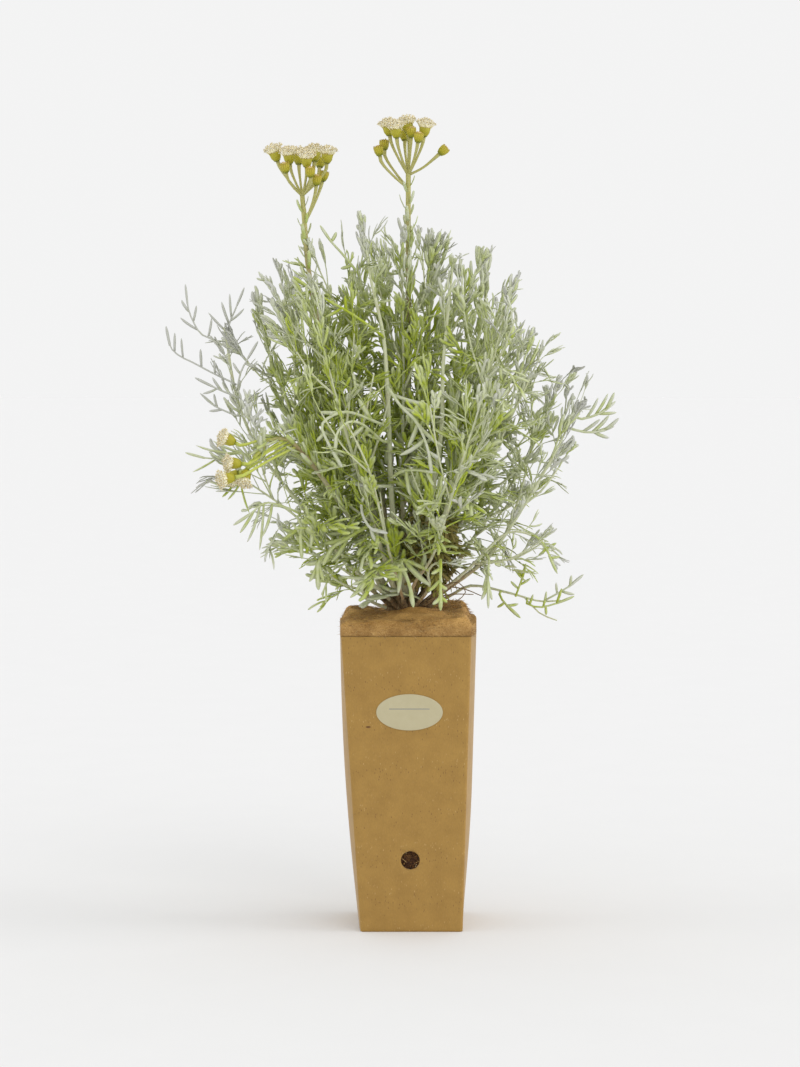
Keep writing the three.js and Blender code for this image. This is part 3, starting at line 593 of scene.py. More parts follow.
def withered_leaf(add, place, _scene):
    """Withered leaf, dried on the plant: papery, grey-brown to straw."""
    fresh = add("Attribute", attribute_name="wool").outputs["Fac"]
    mottle = add("TexNoise", {"Vector": place, "Scale": 1 / (3 * MM), "Detail": 3.0})
    tone = add("Mix", {0: mottle, 6: "6f5f30", 7: "a89360"}, data_type="RGBA")
    colour = add("Mix", {0: fresh, 6: tone, 7: "98983f"}, data_type="RGBA")
    return add("BsdfPrincipled", {"Base Color": colour, "Roughness": 0.85})


def studio_floor(add, place, scene):
    """Painted studio floor: pale, matte and even, with a trace of roller texture."""
    roller = add("TexNoise", {"Vector": place, "Scale": 1 / (60 * MM), "Detail": 3.0})
    tone = add("Mix", {0: roller, 6: scene.potted_stage.floor, 7: "e7e7e7"}, data_type="RGBA")
    return add("BsdfPrincipled", {"Base Color": tone, "Roughness": 0.9, "Specular IOR Level": 0.1})


FINISHES = {
    "board": ("kraft_linerboard_unbleached", kraft_board),
    "label": ("label_stock_cream_calendered", label_paper),
    "ink": ("printing_ink_slate", label_ink),
    "soil": ("potting_soil_peat_moist", potting_soil),
    "mulch": ("coir_jute_felt_needled", mulch_felt),
    "fibre": ("coir_straw_fibre_dry", loose_fibre),
    "bark": ("bark_young_fissured", young_bark),
    "leaf": ("leaf_felted_silver", felted_leaf),
    "stem": ("stem_felted_ageing_to_bark", felted_stem),
    "stalk": ("flower_stalk_ribbed_downy", downy_stalk),
    "bract": ("bract_waxy_olive", waxy_bract),
    "floret": ("floret_corolla_cream", cream_floret),
    "anther": ("anther_pollen_ochre", anther_pollen),
    "withered": ("leaf_withered_papery", withered_leaf),
    "floor": ("studio_floor_painted_matte", studio_floor),
}
made_materials = {}


def material(key):
    """The material of that key, made the first time it is asked for."""
    if key not in made_materials:
        name, make_shader = FINISHES[key]
        made = bpy.data.materials.new(name)
        made.use_nodes = True
        tree = made.node_tree
        tree.nodes.clear()
        add = functools.partial(add_node, tree)
        place = add("TexCoord").outputs["Object"]
        add("OutputMaterial", {"Surface": make_shader(add, place, bpy.context.scene)})
        made_materials[key] = made
    return made_materials[key]


# Vectors in arrays whose last axis is x, y, z

def unit(vectors):
    """The vectors, made one long."""
    lengths = np.linalg.norm(vectors, axis=-1, keepdims=True)
    return vectors / np.maximum(lengths, 1e-9)


def dot(a, b):
    """Products of two rows of vectors, kept as a column."""
    return np.sum(a * b, axis=-1, keepdims=True)


def square_to(vectors, axis):
    """The vectors, made perpendicular to an axis and of unit length."""
    return unit(vectors - dot(vectors, axis) * axis)


def turned(first, second, angles):
    """Directions turned from a first one towards a second one by the angles."""
    return first * np.cos(angles)[:, None] + second * np.sin(angles)[:, None]


def even_turns(count, shift=0.0):
    """Angles that go once round in even steps."""
    return 2 * np.pi * (np.arange(count) + shift) / count


class Surface:
    """Collects closed patches of faces, in millimetres, and makes one mesh object of them."""

    def __init__(self, *materials):
        self.keys = materials
        self.patches = []

    def add(self, points, quads, triangles, key, **values):
        """Add points and the faces between them, with a material and the points' attributes."""
        self.patches.append((points.reshape(-1, 3), quads, triangles, key, values))

    def build(self, name):
        """Make the object."""
        points, quads, triangles, keys, values = zip(*self.patches)
        counts = [len(patch) for patch in points]
        firsts = np.cumsum([0, *counts[:-1]])
        corners = []
        slots = []
        for faces in (quads, triangles):
            corners += [(patch + first).ravel() for patch, first in zip(faces, firsts)]
            slots += [np.full(len(patch), self.keys.index(key)) for patch, key in zip(faces, keys)]
        corners = np.concatenate(corners)
        slots = np.concatenate(slots)
        fours = sum(map(len, quads))
        starts = np.concatenate([np.arange(fours) * 4, fours * 4 + np.arange(len(slots) - fours) * 3])
        mesh = bpy.data.meshes.new(name)
        mesh.vertices.add(sum(counts))
        mesh.vertices.foreach_set("co", np.concatenate(points).ravel() * MM)
        mesh.loops.add(len(corners))
        mesh.loops.foreach_set("vertex_index", corners.astype(np.int32))
        mesh.polygons.add(len(starts))
        mesh.polygons.foreach_set("loop_start", starts.astype(np.int32))
        mesh.polygons.foreach_set("material_index", slots.astype(np.int32))
        mesh.polygons.foreach_set("use_smooth", np.full(len(starts), True))
        for attribute in dict.fromkeys(key for patch in values for key in patch):
            parts = [np.broadcast_to(patch.get(attribute, 0.0), count)
                     for patch, count in zip(values, counts)]
            layer = mesh.attributes.new(attribute, "FLOAT", "POINT")
            layer.data.foreach_set("value", np.concatenate(parts).astype(np.float32))
        for key in self.keys:
            mesh.materials.append(material(key))
        mesh.update(calc_edges=True)
        mesh.validate()
        thing = bpy.data.objects.new(name, mesh)
        bpy.context.scene.collection.objects.link(thing)
        return thing


def place_piece(thing, node):
    """Make a piece ride on the plant's one body and stand in for its CAD node, which is hidden."""
    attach(thing, "root")
    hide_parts(node)


def ring_faces(rings, sides):
    """Quads between rings of points, and the fans from the two end points, which come last."""
    quads = []
    for ring in range(rings - 1):
        for side in range(sides):
            here = ring * sides + side
            beside = ring * sides + (side + 1) % sides
            quads.append((here, beside, beside + sides, here + sides))
    foot, tip = rings * sides, rings * sides + 1
    last = (rings - 1) * sides
    triangles = []
    for side in range(sides):
        following = (side + 1) % sides
        triangles.append((foot, following, side))
        triangles.append((tip, last + side, last + following))
    return np.array(quads), np.array(triangles)


def stack_rings(surface, rings, key, ends=None, **values):
    """Add the closed surface through a stack of rings, with a fan of faces to each end point."""
    rings = np.array(rings)
    if ends is None:
        ends = rings[[0, -1]].mean(axis=1)
    points = np.concatenate([rings.reshape(-1, 3), ends])
    surface.add(points, *ring_faces(*rings.shape[:2]), key, **values)


def arc(base, heading, across, length, bend, towards, along):
    """Where a bent strip is at a share of its length: its middle, heading, across and face."""
    along = np.asarray(along, float)
    bend = np.where(np.abs(bend) < 1e-4, 1e-4, bend)
    turn = (bend * along)[..., None]
    reach = (length / bend)[..., None]
    sine, cosine = np.sin(turn), np.cos(turn)
    centre = base + heading * reach * sine + towards * reach * (1 - cosine)
    tangent = heading * cosine + towards * sine
    inward = towards * cosine - heading * sine
    third = np.cross(heading, towards)
    side = inward * dot(across, towards) + third * dot(across, third)
    return centre, tangent, side, np.cross(tangent, side)


# Width along each kind of blade: the share of the length, and the share of the full width there
LOBE = [(0.0, 0.6), (0.35, 0.92), (0.72, 1.0), (0.94, 0.68)]
SHAPED_LOBE = [(0.0, 0.75), (0.3, 0.95), (0.6, 1.0), (0.8, 0.85), (0.94, 0.45)]
MIDRIB = [(0.0, 1.3), (0.12, 0.85), (0.4, 0.75), (0.7, 0.85), (0.93, 0.8)]
BRACT = [(0.0, 0.6), (0.35, 1.0), (0.7, 0.85), (0.92, 0.4)]
FLORET_TUBE = [(0.0, 0.6), (0.6, 0.8), (0.95, 1.5)]
FLORET_LOBE = [(0.0, 0.8), (0.5, 1.0)]
ANTHERS = [(0.0, 1.0), (0.8, 1.0)]
BUD_FLORET = [(0.0, 0.8), (0.6, 1.0)]
FIBRE = [(0.0, 0.7), (0.3, 1.0), (0.65, 0.9)]
CRUMB = [(0.0, 0.6), (0.3, 1.0), (0.7, 0.8)]
RULE = [(0.0, 1.0), (0.5, 1.0), (0.99, 1.0)]
LEAF_THICKNESS = 0.8
STRAIGHT = 0.0001


def add_blades(surface, key, base, heading, across, length, width, thickness, bend, towards,
               profile=LOBE, sides=4, **values):
    """Add narrow closed blades, one for each row of the arrays, each bent along an arc. Values
    are given for each blade. The share along the blade is added as the attribute along."""
    count = len(base)
    if count == 0:
        return
    shares, swell = np.transpose(profile)
    spread = [np.asarray(v)[:, None] for v in (base, heading, across)]
    lengths, bends = (np.broadcast_to(v, (count,))[:, None] for v in (length, bend))
    towards = np.asarray(towards)[:, None]
    centre, _, side, face = arc(*spread, lengths, bends, towards, shares[None, :])
    angles = even_turns(sides)
    half_width = np.broadcast_to(width, (count,))[:, None, None, None] / 2 * swell[None, :, None, None]
    half_depth = np.broadcast_to(thickness, (count,))[:, None, None, None] / 2
    half_depth = half_depth * np.minimum(1.0, swell * 1.1)[None, :, None, None]
    rim = (np.cos(angles)[None, None, :, None] * half_width * side[:, :, None]
           + np.sin(angles)[None, None, :, None] * half_depth * face[:, :, None])
    rings = (centre[:, :, None] + rim).reshape(count, -1, 3)
    tip = arc(*spread, lengths, bends, towards, np.ones((1, 1)))[0]
    points = np.concatenate([rings, centre[:, :1], tip], axis=1)
    quads, triangles = ring_faces(len(profile), sides)
    stride = points.shape[1]
    offsets = (np.arange(count) * stride)[:, None, None]
    along = np.concatenate([np.repeat(shares, sides), [0.0, 1.0]])
    extra = {name: np.repeat(np.broadcast_to(v, (count,)), stride) for name, v in values.items()}
    extra["along"] = np.tile(along, count)
    surface.add(points, (quads[None] + offsets).reshape(-1, 4), (triangles[None] + offsets).reshape(-1, 3),
                key, **extra)


def smooth_route(points, count):
    """Evenly spaced points on the centripetal Catmull-Rom curve through the given ones."""
    points = np.array(points, float)
    padded = np.vstack([2 * points[0] - points[1], points, 2 * points[-1] - points[-2]])
    fine = []
    for i in range(len(points) - 1):
        p0, p1, p2, p3 = padded[i:i + 4]
        d0, d1, d2 = (max(np.linalg.norm(b - a) ** 0.5, 1e-4) for a, b in ((p0, p1), (p1, p2), (p2, p3)))
        start = ((p1 - p0) / d0 - (p2 - p0) / (d0 + d1) + (p2 - p1) / d1) * d1
        stop = ((p2 - p1) / d1 - (p3 - p1) / (d1 + d2) + (p3 - p2) / d2) * d1
        t = np.linspace(0, 1, 40, endpoint=i == len(points) - 2)[:, None]
        fine.append(p1 + start * t + (3 * (p2 - p1) - 2 * start - stop) * t ** 2
                    + (2 * (p1 - p2) + start + stop) * t ** 3)
    fine = np.vstack(fine)
    travelled = np.concatenate([[0], np.cumsum(np.linalg.norm(np.diff(fine, axis=0), axis=1))])
    marks = np.linspace(0, travelled[-1], count)
    return np.stack([np.interp(marks, travelled, fine[:, axis]) for axis in range(3)], axis=1)


class Route:
    """A stem's middle line, with its heading and a steady sideways direction at every point."""

    def __init__(self, points, count=64):
        self.points = smooth_route(points, count)
        self.length = float(np.linalg.norm(np.diff(self.points, axis=0), axis=1).sum())
        self.tangents = unit(np.gradient(self.points, axis=0))
        side = np.cross(self.tangents[0], (0.3, 1.0, 0.1))
        self.sides = []
        for tangent in self.tangents:
            side = square_to(side, tangent)
            self.sides.append(side)
        self.sides = np.array(self.sides)

    def at(self, shares):
        """Points, headings and sideways directions at shares of the length."""
        places = np.clip(np.asarray(shares, float), 0, 1) * (len(self.points) - 1)
        low = np.minimum(places.astype(int), len(self.points) - 2)
        part = (places - low)[:, None]
        mixed = [array[low] * (1 - part) + array[low + 1] * part
                 for array in (self.points, self.tangents, self.sides)]
        return mixed[0], unit(mixed[1]), square_to(mixed[2], unit(mixed[1]))


def add_tube(surface, key, route, radii, sides=8, ribs=0.0, **values):
    """Add a closed round stem along a route. Radii are given at even steps along it."""
    steps = len(radii)
    centre, tangent, side = route.at(np.linspace(0, 1, steps))
    third = np.cross(tangent, side)
    angles = even_turns(sides)
    swell = 1 + ribs * np.where(np.arange(sides) % 2, 1, -1)
    radius = np.asarray(radii)[:, None, None] * swell[None, :, None]
    rings = centre[:, None] + radius * turned(side[:, None], third[:, None], angles)
    spread = {name: np.concatenate([np.repeat(v, sides), v[:1], v[-1:]]) for name, v in values.items()}
    stack_rings(surface, rings, key, centre[[0, -1]], **spread)


# Routes of the stems

def spread_feet(aims):
    """Directions from the crown's middle in which the stems start: each towards its own shoot,
    and pushed apart where two stand too close."""
    feet = unit(np.array(aims, float) - CROWN_CENTRE)
    for _ in range(200):
        for i in range(len(feet)):
            for j in range(i):
                apart = feet[i] - feet[j]
                distance = np.linalg.norm(apart)
                missing = FOOT_SPACING / CROWN_RADIUS - distance
                if missing > 0:
                    push = apart / distance * missing / 2
                    feet[i] += push
                    feet[j] -= push
            feet[i][2] = max(feet[i][2], LOWEST_FOOT)
            feet[i] /= np.linalg.norm(feet[i])
    return feet


def stem_routes():
    """The route of every shoot and stalk, by name."""
    points = {name: route for name, (_, _, route) in SHOOTS.items()}
    points.update({name: route for name, (_, _, route, _) in STALKS.items()})
    feet = spread_feet([route[0] for route in points.values()])
    routes = {}
    for (name, route), facing in zip(points.items(), feet):
        foot = CROWN_CENTRE + facing * (CROWN_RADIUS + CLEARANCE)
        start = CROWN_CENTRE + facing * (CROWN_RADIUS + STRAIGHT_START)
        routes[name] = Route([foot, start, *route])
    return routes


ROUTES = stem_routes()


# Leaves

# The middle of the greenest part of the plant, where the wool is thinnest and the leaves are also painted
# greener for light shining through them in the shade, and its reach to the right, back and top, and to the
# left, front and bottom
GREEN_HEART = np.array([-38.0, -5.0, 385.0])
GREEN_REACH_ABOVE = np.array([116.0, 125.0, 118.0])
GREEN_REACH_BELOW = np.array([60.0, 125.0, 165.0])


def wool_and_painted_inner_light_at(points, rng):
    """How woolly leaves are at their places: silver at the outside and green at the heart. The green
    heart is partly thinner wool and partly painted light, for light shining through the inner leaves.
    """
    apart = points - GREEN_HEART
    away = np.linalg.norm(apart / np.where(apart < 0, GREEN_REACH_BELOW, GREEN_REACH_ABOVE), axis=-1)
    high = np.clip((points[:, 2] - 440) / 80, 0, 1)
    return np.clip(0.07 + 0.42 * away ** 1.7 + 0.2 * high + rng.normal(0, 0.16, len(points)), 0.0, 1.2)


# How far the leaves reach from the crown's middle, seen from the front: an angle from the
# right-hand side in degrees, and a distance. Past 120 degrees only left_outer_shoot reaches so far.
OUTLINE = [(-10, 128), (10, 128), (25, 122), (36, 122), (42, 158), (46, 216), (50, 220), (57, 230),
           (64, 236), (68, 230), (71, 242), (73, 266), (77, 277), (84, 284), (92, 292), (98, 302),
           (103, 286), (112, 278), (119, 252), (127, 262), (133, 284), (141, 215), (146, 180),
           (150, 122), (155, 80), (165, 50), (180, 38)]


def room_outwards(starts, ways, reaches):
    """The share of each reach that stays within the plant's outline, seen from the front."""
    def polar(points):
        """Angle and distance from the crown's middle."""
        x, z = points[:, 0] - CROWN_CENTRE[0], points[:, 2] - CROWN_CENTRE[2]
        return np.degrees(np.arctan2(z, x)), np.hypot(x, z)

    angle, tip = polar(starts + ways * reaches[:, None])
    limit = np.interp(angle, *np.transpose(OUTLINE))
    _, foot = polar(starts)
    share = (limit - foot) / np.maximum(tip - foot, 1e-6)
    return np.where(tip > limit, np.clip(share, 0, 1), 1.0)


# Places where most leaves are left out, so that what is behind them is in sight: the range in x,
# the y that they are in front of, the range in z, and the share of leaves that is left out
THINNED = [
    ((-72, 28), -46, (342, 400), 0.8),  # the arching leaves of the long pale stem
    ((8, 62), 5, (0, 296), 0.75),  # the withered leaves at the right
    ((-52, 62), 20, (0, 270), 0.9),  # the foot of the plant
]
PALE_STEM_IN_SIGHT = (285, 480)
LOWEST_LEAF = 254


def stands_clear(middles, rng):
    """Which leaves to keep, so that the long pale stem and what THINNED lists are in sight."""
    pale = ROUTES["long_pale_shoot"].points
    nearest = pale[np.argmin(np.abs(middles[:, 2:] - pale[None, :, 2]), axis=1)]
    x, y, z = middles.T
    low, high = PALE_STEM_IN_SIGHT
    hidden = (np.abs(x - nearest[:, 0]) < 11) & (y < nearest[:, 1]) & (z > low) & (z < high)
    for (left, right), back, (low, high), share in THINNED:
        before = (x > left) & (x < right) & (y < back) & (z > low) & (z < high)
        hidden |= before & (rng.random(len(x)) < share)
    return ~hidden & (z >= LOWEST_LEAF)


def add_leaves(surface, rng, base, heading, across, length, width, opening, bend, towards, wool, key="leaf"):
    """Add pinnate leaves, one for each row: a slim midrib and its side lobes in pairs, some of
    them forked. Opening is how far the lobes stand away from the midrib."""
    count = len(base)
    add_blades(surface, key, base, heading, across, length, 0.6 * width, LEAF_THICKNESS, bend, towards,
               profile=MIDRIB, wool=wool)
    pairs = np.clip(np.round(length / 12.5 + rng.uniform(-0.7, 0.7, count)), 2, 4)
    # on the leaves that stand upright the lobes are close together near the tip
    first = rng.uniform(0.28, 0.4, count) + 0.22 * np.clip((0.8 - opening) / 0.3, 0, 1)
    for pair in range(4):
        for side in (-1, 1):
            here = (pairs > pair) & (rng.random(count) < 0.94)
            rank = (pair + 0.45 * (side > 0) + rng.uniform(-0.15, 0.15, count)) / pairs
            share = np.clip(first + (0.9 - first) * rank, 0.15, 0.95)
            centre, tangent, lateral, face = arc(base, heading, across, length, bend, towards, share)
            angle = opening * rng.uniform(0.75, 1.25, count) * (1.1 - 0.35 * share)
            lift = rng.normal(0.1, 0.28, count)
            start = unit(turned(tangent, side * lateral, angle) + face * lift[:, None])
            flat = square_to(np.cross(face, start), start)
            reach = (8.5 + 0.23 * length) * (1 - 0.5 * np.abs(share - 0.55)) * rng.uniform(0.65, 1.15, count)
            inward = square_to(tangent + 1e-3 * face, start)
            curl = rng.uniform(0.3, 1.45, count)
            lobe_width = width * rng.uniform(0.8, 1.2, count)
            lobe_wool = np.maximum(wool + rng.normal(0, 0.08, count), 0)
            add_blades(surface, key, centre[here], start[here], flat[here], reach[here], lobe_width[here],
                       LEAF_THICKNESS, curl[here], inward[here], wool=lobe_wool[here])
            forked = here & (rng.random(count) < 0.3) & (reach > 11)
            middle, along, beside, above = arc(centre, start, flat, reach, curl, inward,
                                               rng.uniform(0.35, 0.5, count))
            branch = unit(along * 0.85 + side * beside * rng.choice([-0.6, 0.6], count)[:, None]
                          + 0.1 * above)
            add_blades(surface, key, middle[forked], branch[forked],
                       square_to(np.cross(above, branch), branch)[forked], 0.5 * reach[forked],
                       0.9 * lobe_width[forked], 0.75, 0.3, square_to(along + 1e-3 * above, branch)[forked],
                       wool=lobe_wool[forked])


def leaves_along(surface, rng, route, shares, sizes, splay, width):
    """Add leaves spirally along a route, at the given shares, each with its size as a length.
    Splay is how far the lowest and the highest leaf stand away from the stem."""
    count = len(shares)
    points, tangents, sides = route.at(shares)
    turns = GOLDEN_ANGLE * np.arange(count) + rng.uniform(0, 6.28) + rng.normal(0, 0.25, count)
    outward = unit(turned(sides, np.cross(tangents, sides), turns))
    rank = np.linspace(0, 1, count)
    angle = (splay[0] * (1 - rank) + splay[1] * rank) * rng.uniform(0.7, 1.25, count)
    heading = unit(turned(tangents, outward, angle) + (0.05 + 0.22 * rank)[:, None] * UP
                   + rng.normal(0, 0.08, (count, 3)))
    across = square_to(np.cross(tangents, outward), heading)
    face = np.cross(heading, across)
    # low leaves mostly arch over and down, high ones curve in towards the stem
    drooping = rng.random(count) > 0.24 + 0.5 * rank
    bend = np.where(drooping, -rng.uniform(0.5, 1.75, count), rng.uniform(0.1, 0.9, count))
    upper_side = np.sign(dot(face, -outward))
    # wool, low at the heart partly as painted light shining through the inner leaves in the shade
    wool = wool_and_painted_inner_light_at(points + heading * 18, rng)
    opening = (0.85 * (1 - rank) + 0.5 * rank) * rng.uniform(0.85, 1.15, count)
    widths = width * (1.1 - 0.32 * rank) * rng.uniform(0.85, 1.15, count)
    sizes = sizes * room_outwards(points, heading, sizes)
    clear = stands_clear(points + heading * sizes[:, None] * 0.55, rng) & (sizes > 9)
    rows = (points, heading, across, sizes, widths, opening, bend, face * upper_side, wool)
    add_leaves(surface, rng, *[row[clear] for row in rows])


def leaf_shares(route, bare, spacing):
    """Where leaves stand along a stem: closer and closer towards the tip."""
    count = max(4, int(route.length * (1 - bare) / spacing))
    return bare + (0.99 - bare) * (1 - (1 - np.linspace(0, 1, count)) ** 1.15)


def leaf_sizes(rng, shares, full):
    """Leaf lengths: full-grown low down, a quarter shorter at the tip."""
    rank = (shares - shares[0]) / max(shares[-1] - shares[0], 1e-6)
    return full * (1 - 0.25 * rank ** 1.5) * rng.uniform(0.8, 1.15, len(shares))


def add_stem(surface, key, route, radius, tip_radius, age, sides=8):
    """Add a tapering stem, a little swollen at its nodes, that is aged only near its foot."""
    steps = max(5, int(route.length / 6))
    share = np.linspace(0, 1, steps)
    radii = (radius * (1 - share) + tip_radius * share) * (1 + 0.07 * np.sin(share * steps * 2.4))
    add_tube(surface, key, route, radii, sides, age=age * np.clip(1 - share / 0.4, 0, 1))


def add_shaped_leaf(surface, rng, stem, forward, wool, width, midrib, lobes):
    """Add one leaf whose midrib and lobes go where they are told."""
    start = np.array([midrib[0][0], forward, midrib[0][1]])
    gap = np.linalg.norm((stem.points - start) * (1, 0.3, 1), axis=1)
    root = stem.points[int(np.argmin(gap))]
    depths = root[1] + (forward - root[1]) * np.linspace(0.25, 1, len(midrib)) ** 0.7
    rib = Route([root, *[(x, y, z) for (x, z), y in zip(midrib, depths)]], 40)
    steps = max(6, int(rib.length / 5))
    along = np.linspace(0, 1, steps)
    add_tube(surface, "leaf", rib, width * (0.4 - 0.1 * along), 6, wool=np.full(steps, wool), along=along)
    end_lobe = max(0.3, 1 - 13 / rib.length)
    starts = rib.at([*[share for share, _, _ in lobes], end_lobe])[0]
    tips = np.array([(x, 0, z) for _, x, z in lobes] + [rib.points[-1] + rib.tangents[-1] * 2])
    tips[:-1, 1] = starts[:-1, 1] + rng.normal(-1, 3, len(lobes))
    chord = tips - starts
    bend = np.append(rng.uniform(0.15, 0.5, len(lobes)), 0.05)
    reach = np.linalg.norm(chord, axis=1) * (bend / 2) / np.sin(bend / 2)
    way = unit(chord)
    towards = square_to(np.tile((0.0, 0.25, 1.0), (len(tips), 1)), way)
    heading = unit(turned(way, -towards, bend / 2))
    towards = square_to(towards, heading)
    across = square_to(np.cross(np.array([0.1, -1.0, 0.15]), heading), heading)
    widths = width * rng.uniform(0.85, 1.1, len(tips))
    add_blades(surface, "leaf", starts, heading, across, reach, widths, 0.9, bend, towards,
               profile=SHAPED_LOBE, wool=np.maximum(wool + rng.normal(0, 0.06, len(tips)), 0))


# A stem under its wool is thicker than bare wood, by these factors
GIRTH = 1.12
LEGGY_GIRTH = 1.35

# How leaves stand on side sprigs, low on a stem and on a flowering stalk
SPRIG_SPLAY = (0.9, 0.26)
LOW_LEAF_SPLAY = (1.3, 0.9)
LOW_LEAF_LOBE = 3.6
STALK_LEAF_SPLAY = (0.95, 0.5)
NARROW_LEAVES = 26


def make_shoot(name, rng):
    """One leafy shoot: its stem, its side sprigs and all their leaves."""
    settings = bpy.context.scene.potted_foliage
    radius, kind, _ = SHOOTS[name]
    habit = HABITS[kind]
    route = ROUTES[name]
    spacing = habit.spacing / settings.fullness
    length = habit.leaf * settings.leaf_scale
    # only the stems at the right and in the middle have turned to brown bark at the foot
    age = 0.3 if name.startswith("left") or "pale" in name else 1.0
    surface = Surface("leaf", "stem")
    tip_radius = 0.9 if habit.sprigs == 0 else 0.6
    girth = LEGGY_GIRTH if kind == "leggy" else GIRTH
    add_stem(surface, "stem", route, radius * girth, tip_radius, age)
    shares = leaf_shares(route, habit.bare, spacing)
    leaves_along(surface, rng, route, shares, leaf_sizes(rng, shares, length), habit.splay, habit.lobe)
    # the largest leaves arch out from low on the stem
    low_shares = np.linspace(0.1, 0.42, habit.low_leaves)
    low_sizes = rng.uniform(38, 52, habit.low_leaves)
    leaves_along(surface, rng, route, low_shares, low_sizes, LOW_LEAF_SPLAY, LOW_LEAF_LOBE)
    for sprig in range(habit.sprigs):
        share = 0.22 + 0.62 * (sprig + rng.uniform(0.1, 0.9)) / habit.sprigs
        point, tangent, side = (row[0] for row in route.at([share]))
        outward = np.array(Matrix.Rotation(rng.uniform(0, 2 * math.pi), 3, Vector(tangent)) @ Vector(side))
        # the frontmost and rearmost stems branch back towards the middle of the plant
        outward[1] = outward[1] if abs(point[1]) < 50 else -math.copysign(outward[1], point[1])
        start = unit(tangent + outward * rng.uniform(0.5, 0.9))
        reach = min(route.length * (1 - share) * 0.9 + 12, rng.uniform(38, 68))
        reach *= room_outwards(point[None], start[None], np.array([reach + 12]))[0]
        end = point + start * reach + UP * reach * 0.2
        branch = Route([point, point + start * reach * 0.5, end], 24)
        add_stem(surface, "stem", branch, radius * (0.9 - 0.45 * share), 0.5, age * (0.6 - share), sides=6)
        shares = leaf_shares(branch, 0.2, spacing * 0.85)
        leaves_along(surface, rng, branch, shares, leaf_sizes(rng, shares, length * 0.85),
                     SPRIG_SPLAY, habit.lobe)
    for shape in SHAPED_LEAVES.get(name, ()):
        add_shaped_leaf(surface, rng, route, *shape)
    place_piece(surface.build(name.replace("_shoot", "_leafy_shoot")), name)


# Flowers

# Height above a head's foot and radius, in millimetres, of the rings of a cup and of the cushion
# of floret tubes in it
OPEN_CUP = [(0.2, 1.1), (1.0, 2.6), (3.0, 3.8), (6.5, 4.3), (7.3, 3.2)]
BUD_CUP = [(0.2, 1.1), (1.0, 2.3), (3.0, 3.1), (6.4, 3.3), (7.4, 2.5)]
CUSHION = [(5.2, 3.0), (7.2, 4.0), (8.6, 4.3), (9.8, 3.7), (10.8, 2.2)]
CUP_SIDES = 14

# The bracts of a cup, the long ones and then the short ones at the foot: how many, their length
# and width, how far from the axis they start and how far they lean out
BRACTS = [(14, 8.0, 2.2, 2.0, 0.58), (8, 3.2, 1.2, 1.5, 0.8)]


def add_bowl(surface, key, foot, axis, side, third, outline, ends, along):
    """Add a closed round body about a head's axis, whose end points are at two heights."""
    ring = turned(side, third, even_turns(CUP_SIDES))
    rings = [foot + axis * z + ring * r for z, r in outline]
    count = len(outline) * CUP_SIDES + 2
    stack_rings(surface, rings, key, [foot + axis * z for z in ends], along=np.full(count, along))


def head_frame(foot, facing):
    """A flower head's foot, and its axis with two directions across it."""
    axis = unit(np.array(facing, float))
    side = square_to(np.array([1.0, 0.2, 0.1]), axis)
    return np.array(foot, float), axis, side, np.cross(axis, side)


def add_cup(surface, rng, foot, axis, side, third, open_head):
    """The cup of a flower head: a closed body, a ring of upright bracts packed side by side and
    a few short ones at its foot."""
    outline = OPEN_CUP if open_head else BUD_CUP
    add_bowl(surface, "bract", foot, axis, side, third, outline, (0, outline[-1][0]), 0.3)
    for layer, (count, reach, width, radius, lean) in enumerate(BRACTS):
        out = turned(side, third, even_turns(count, 0.5 * layer) + rng.normal(0, 0.04, count))
        base = foot + axis * 0.3 + out * radius
        start = unit(axis + out * lean)
        across = square_to(np.cross(axis, out), start)
        inward = square_to(axis - 0.1 * out, start)
        bend = 0.55 if open_head else 0.75
        add_blades(surface, "bract", base, start, across, reach * rng.uniform(0.97, 1.05, count),
                   width, 0.7, bend, inward, profile=BRACT)


def add_florets(surface, rng, foot, axis, side, third, count):
    """Disc florets packed in a dome: each a slender tube with five spreading lobes and a column
    of anthers."""
    number = np.arange(count)
    out = turned(side, third, GOLDEN_ANGLE * number + rng.normal(0, 0.12, count))
    share = np.sqrt((number + 0.5) / count)
    base = foot + axis * 5.6 + out * (3.2 * share)[:, None]
    heading = unit(axis + out * (0.8 * share ** 1.3)[:, None] + rng.normal(0, 0.05, (count, 3)))
    across = square_to(np.cross(out, heading) + 1e-4 * side, heading)
    reach = (7.4 - 1.7 * share ** 2) * rng.uniform(0.82, 1.16, count)
    # the close-packed tubes below the lobes make one pale cushion
    add_bowl(surface, "floret", foot, axis, side, third, CUSHION, (5.2, 11.1), 0.55)
    add_blades(surface, "floret", base, heading, across, reach, 1.0, 1.0, STRAIGHT, across,
               profile=FLORET_TUBE, sides=5)
    mouth = base + heading * (reach * 0.93)[:, None]
    for lobe in range(5):
        angle = 2 * np.pi * lobe / 5 + rng.uniform(0, 1.2, count)
        ray = unit(turned(across, np.cross(heading, across), angle))
        start = unit(ray + heading)
        add_blades(surface, "floret", mouth, start, square_to(np.cross(heading, ray), start), 2.1, 1.0, 0.3,
                   0.35, square_to(-heading, start), profile=FLORET_LOBE)
    add_blades(surface, "anther", mouth - heading * 0.3, heading, across, 1.9 * rng.uniform(0.8, 1.2, count),
               0.45, 0.45, STRAIGHT, across, profile=ANTHERS)


def make_head(name, foot, facing, open_head, rng):
    """One flower head, open or in bud."""
    settings = bpy.context.scene.potted_flowers
    surface = Surface("bract", "floret", "anther")
    place = head_frame(foot, facing)
    add_cup(surface, rng, *place, open_head)
    if open_head:
        add_florets(surface, rng, *place, settings.florets)
    else:
        start, axis, side, third = place
        out = turned(side, third, even_turns(7))
        tips = start + axis * 6.2 + out * 0.9
        heading = unit(axis + 0.1 * out)
        add_blades(surface, "anther", tips, heading, square_to(np.cross(axis, out), heading), 2.0, 1.8, 1.6,
                   0.2, square_to(-out, heading), profile=BUD_FLORET)
    place_piece(surface.build(name + "_bloom"), name)


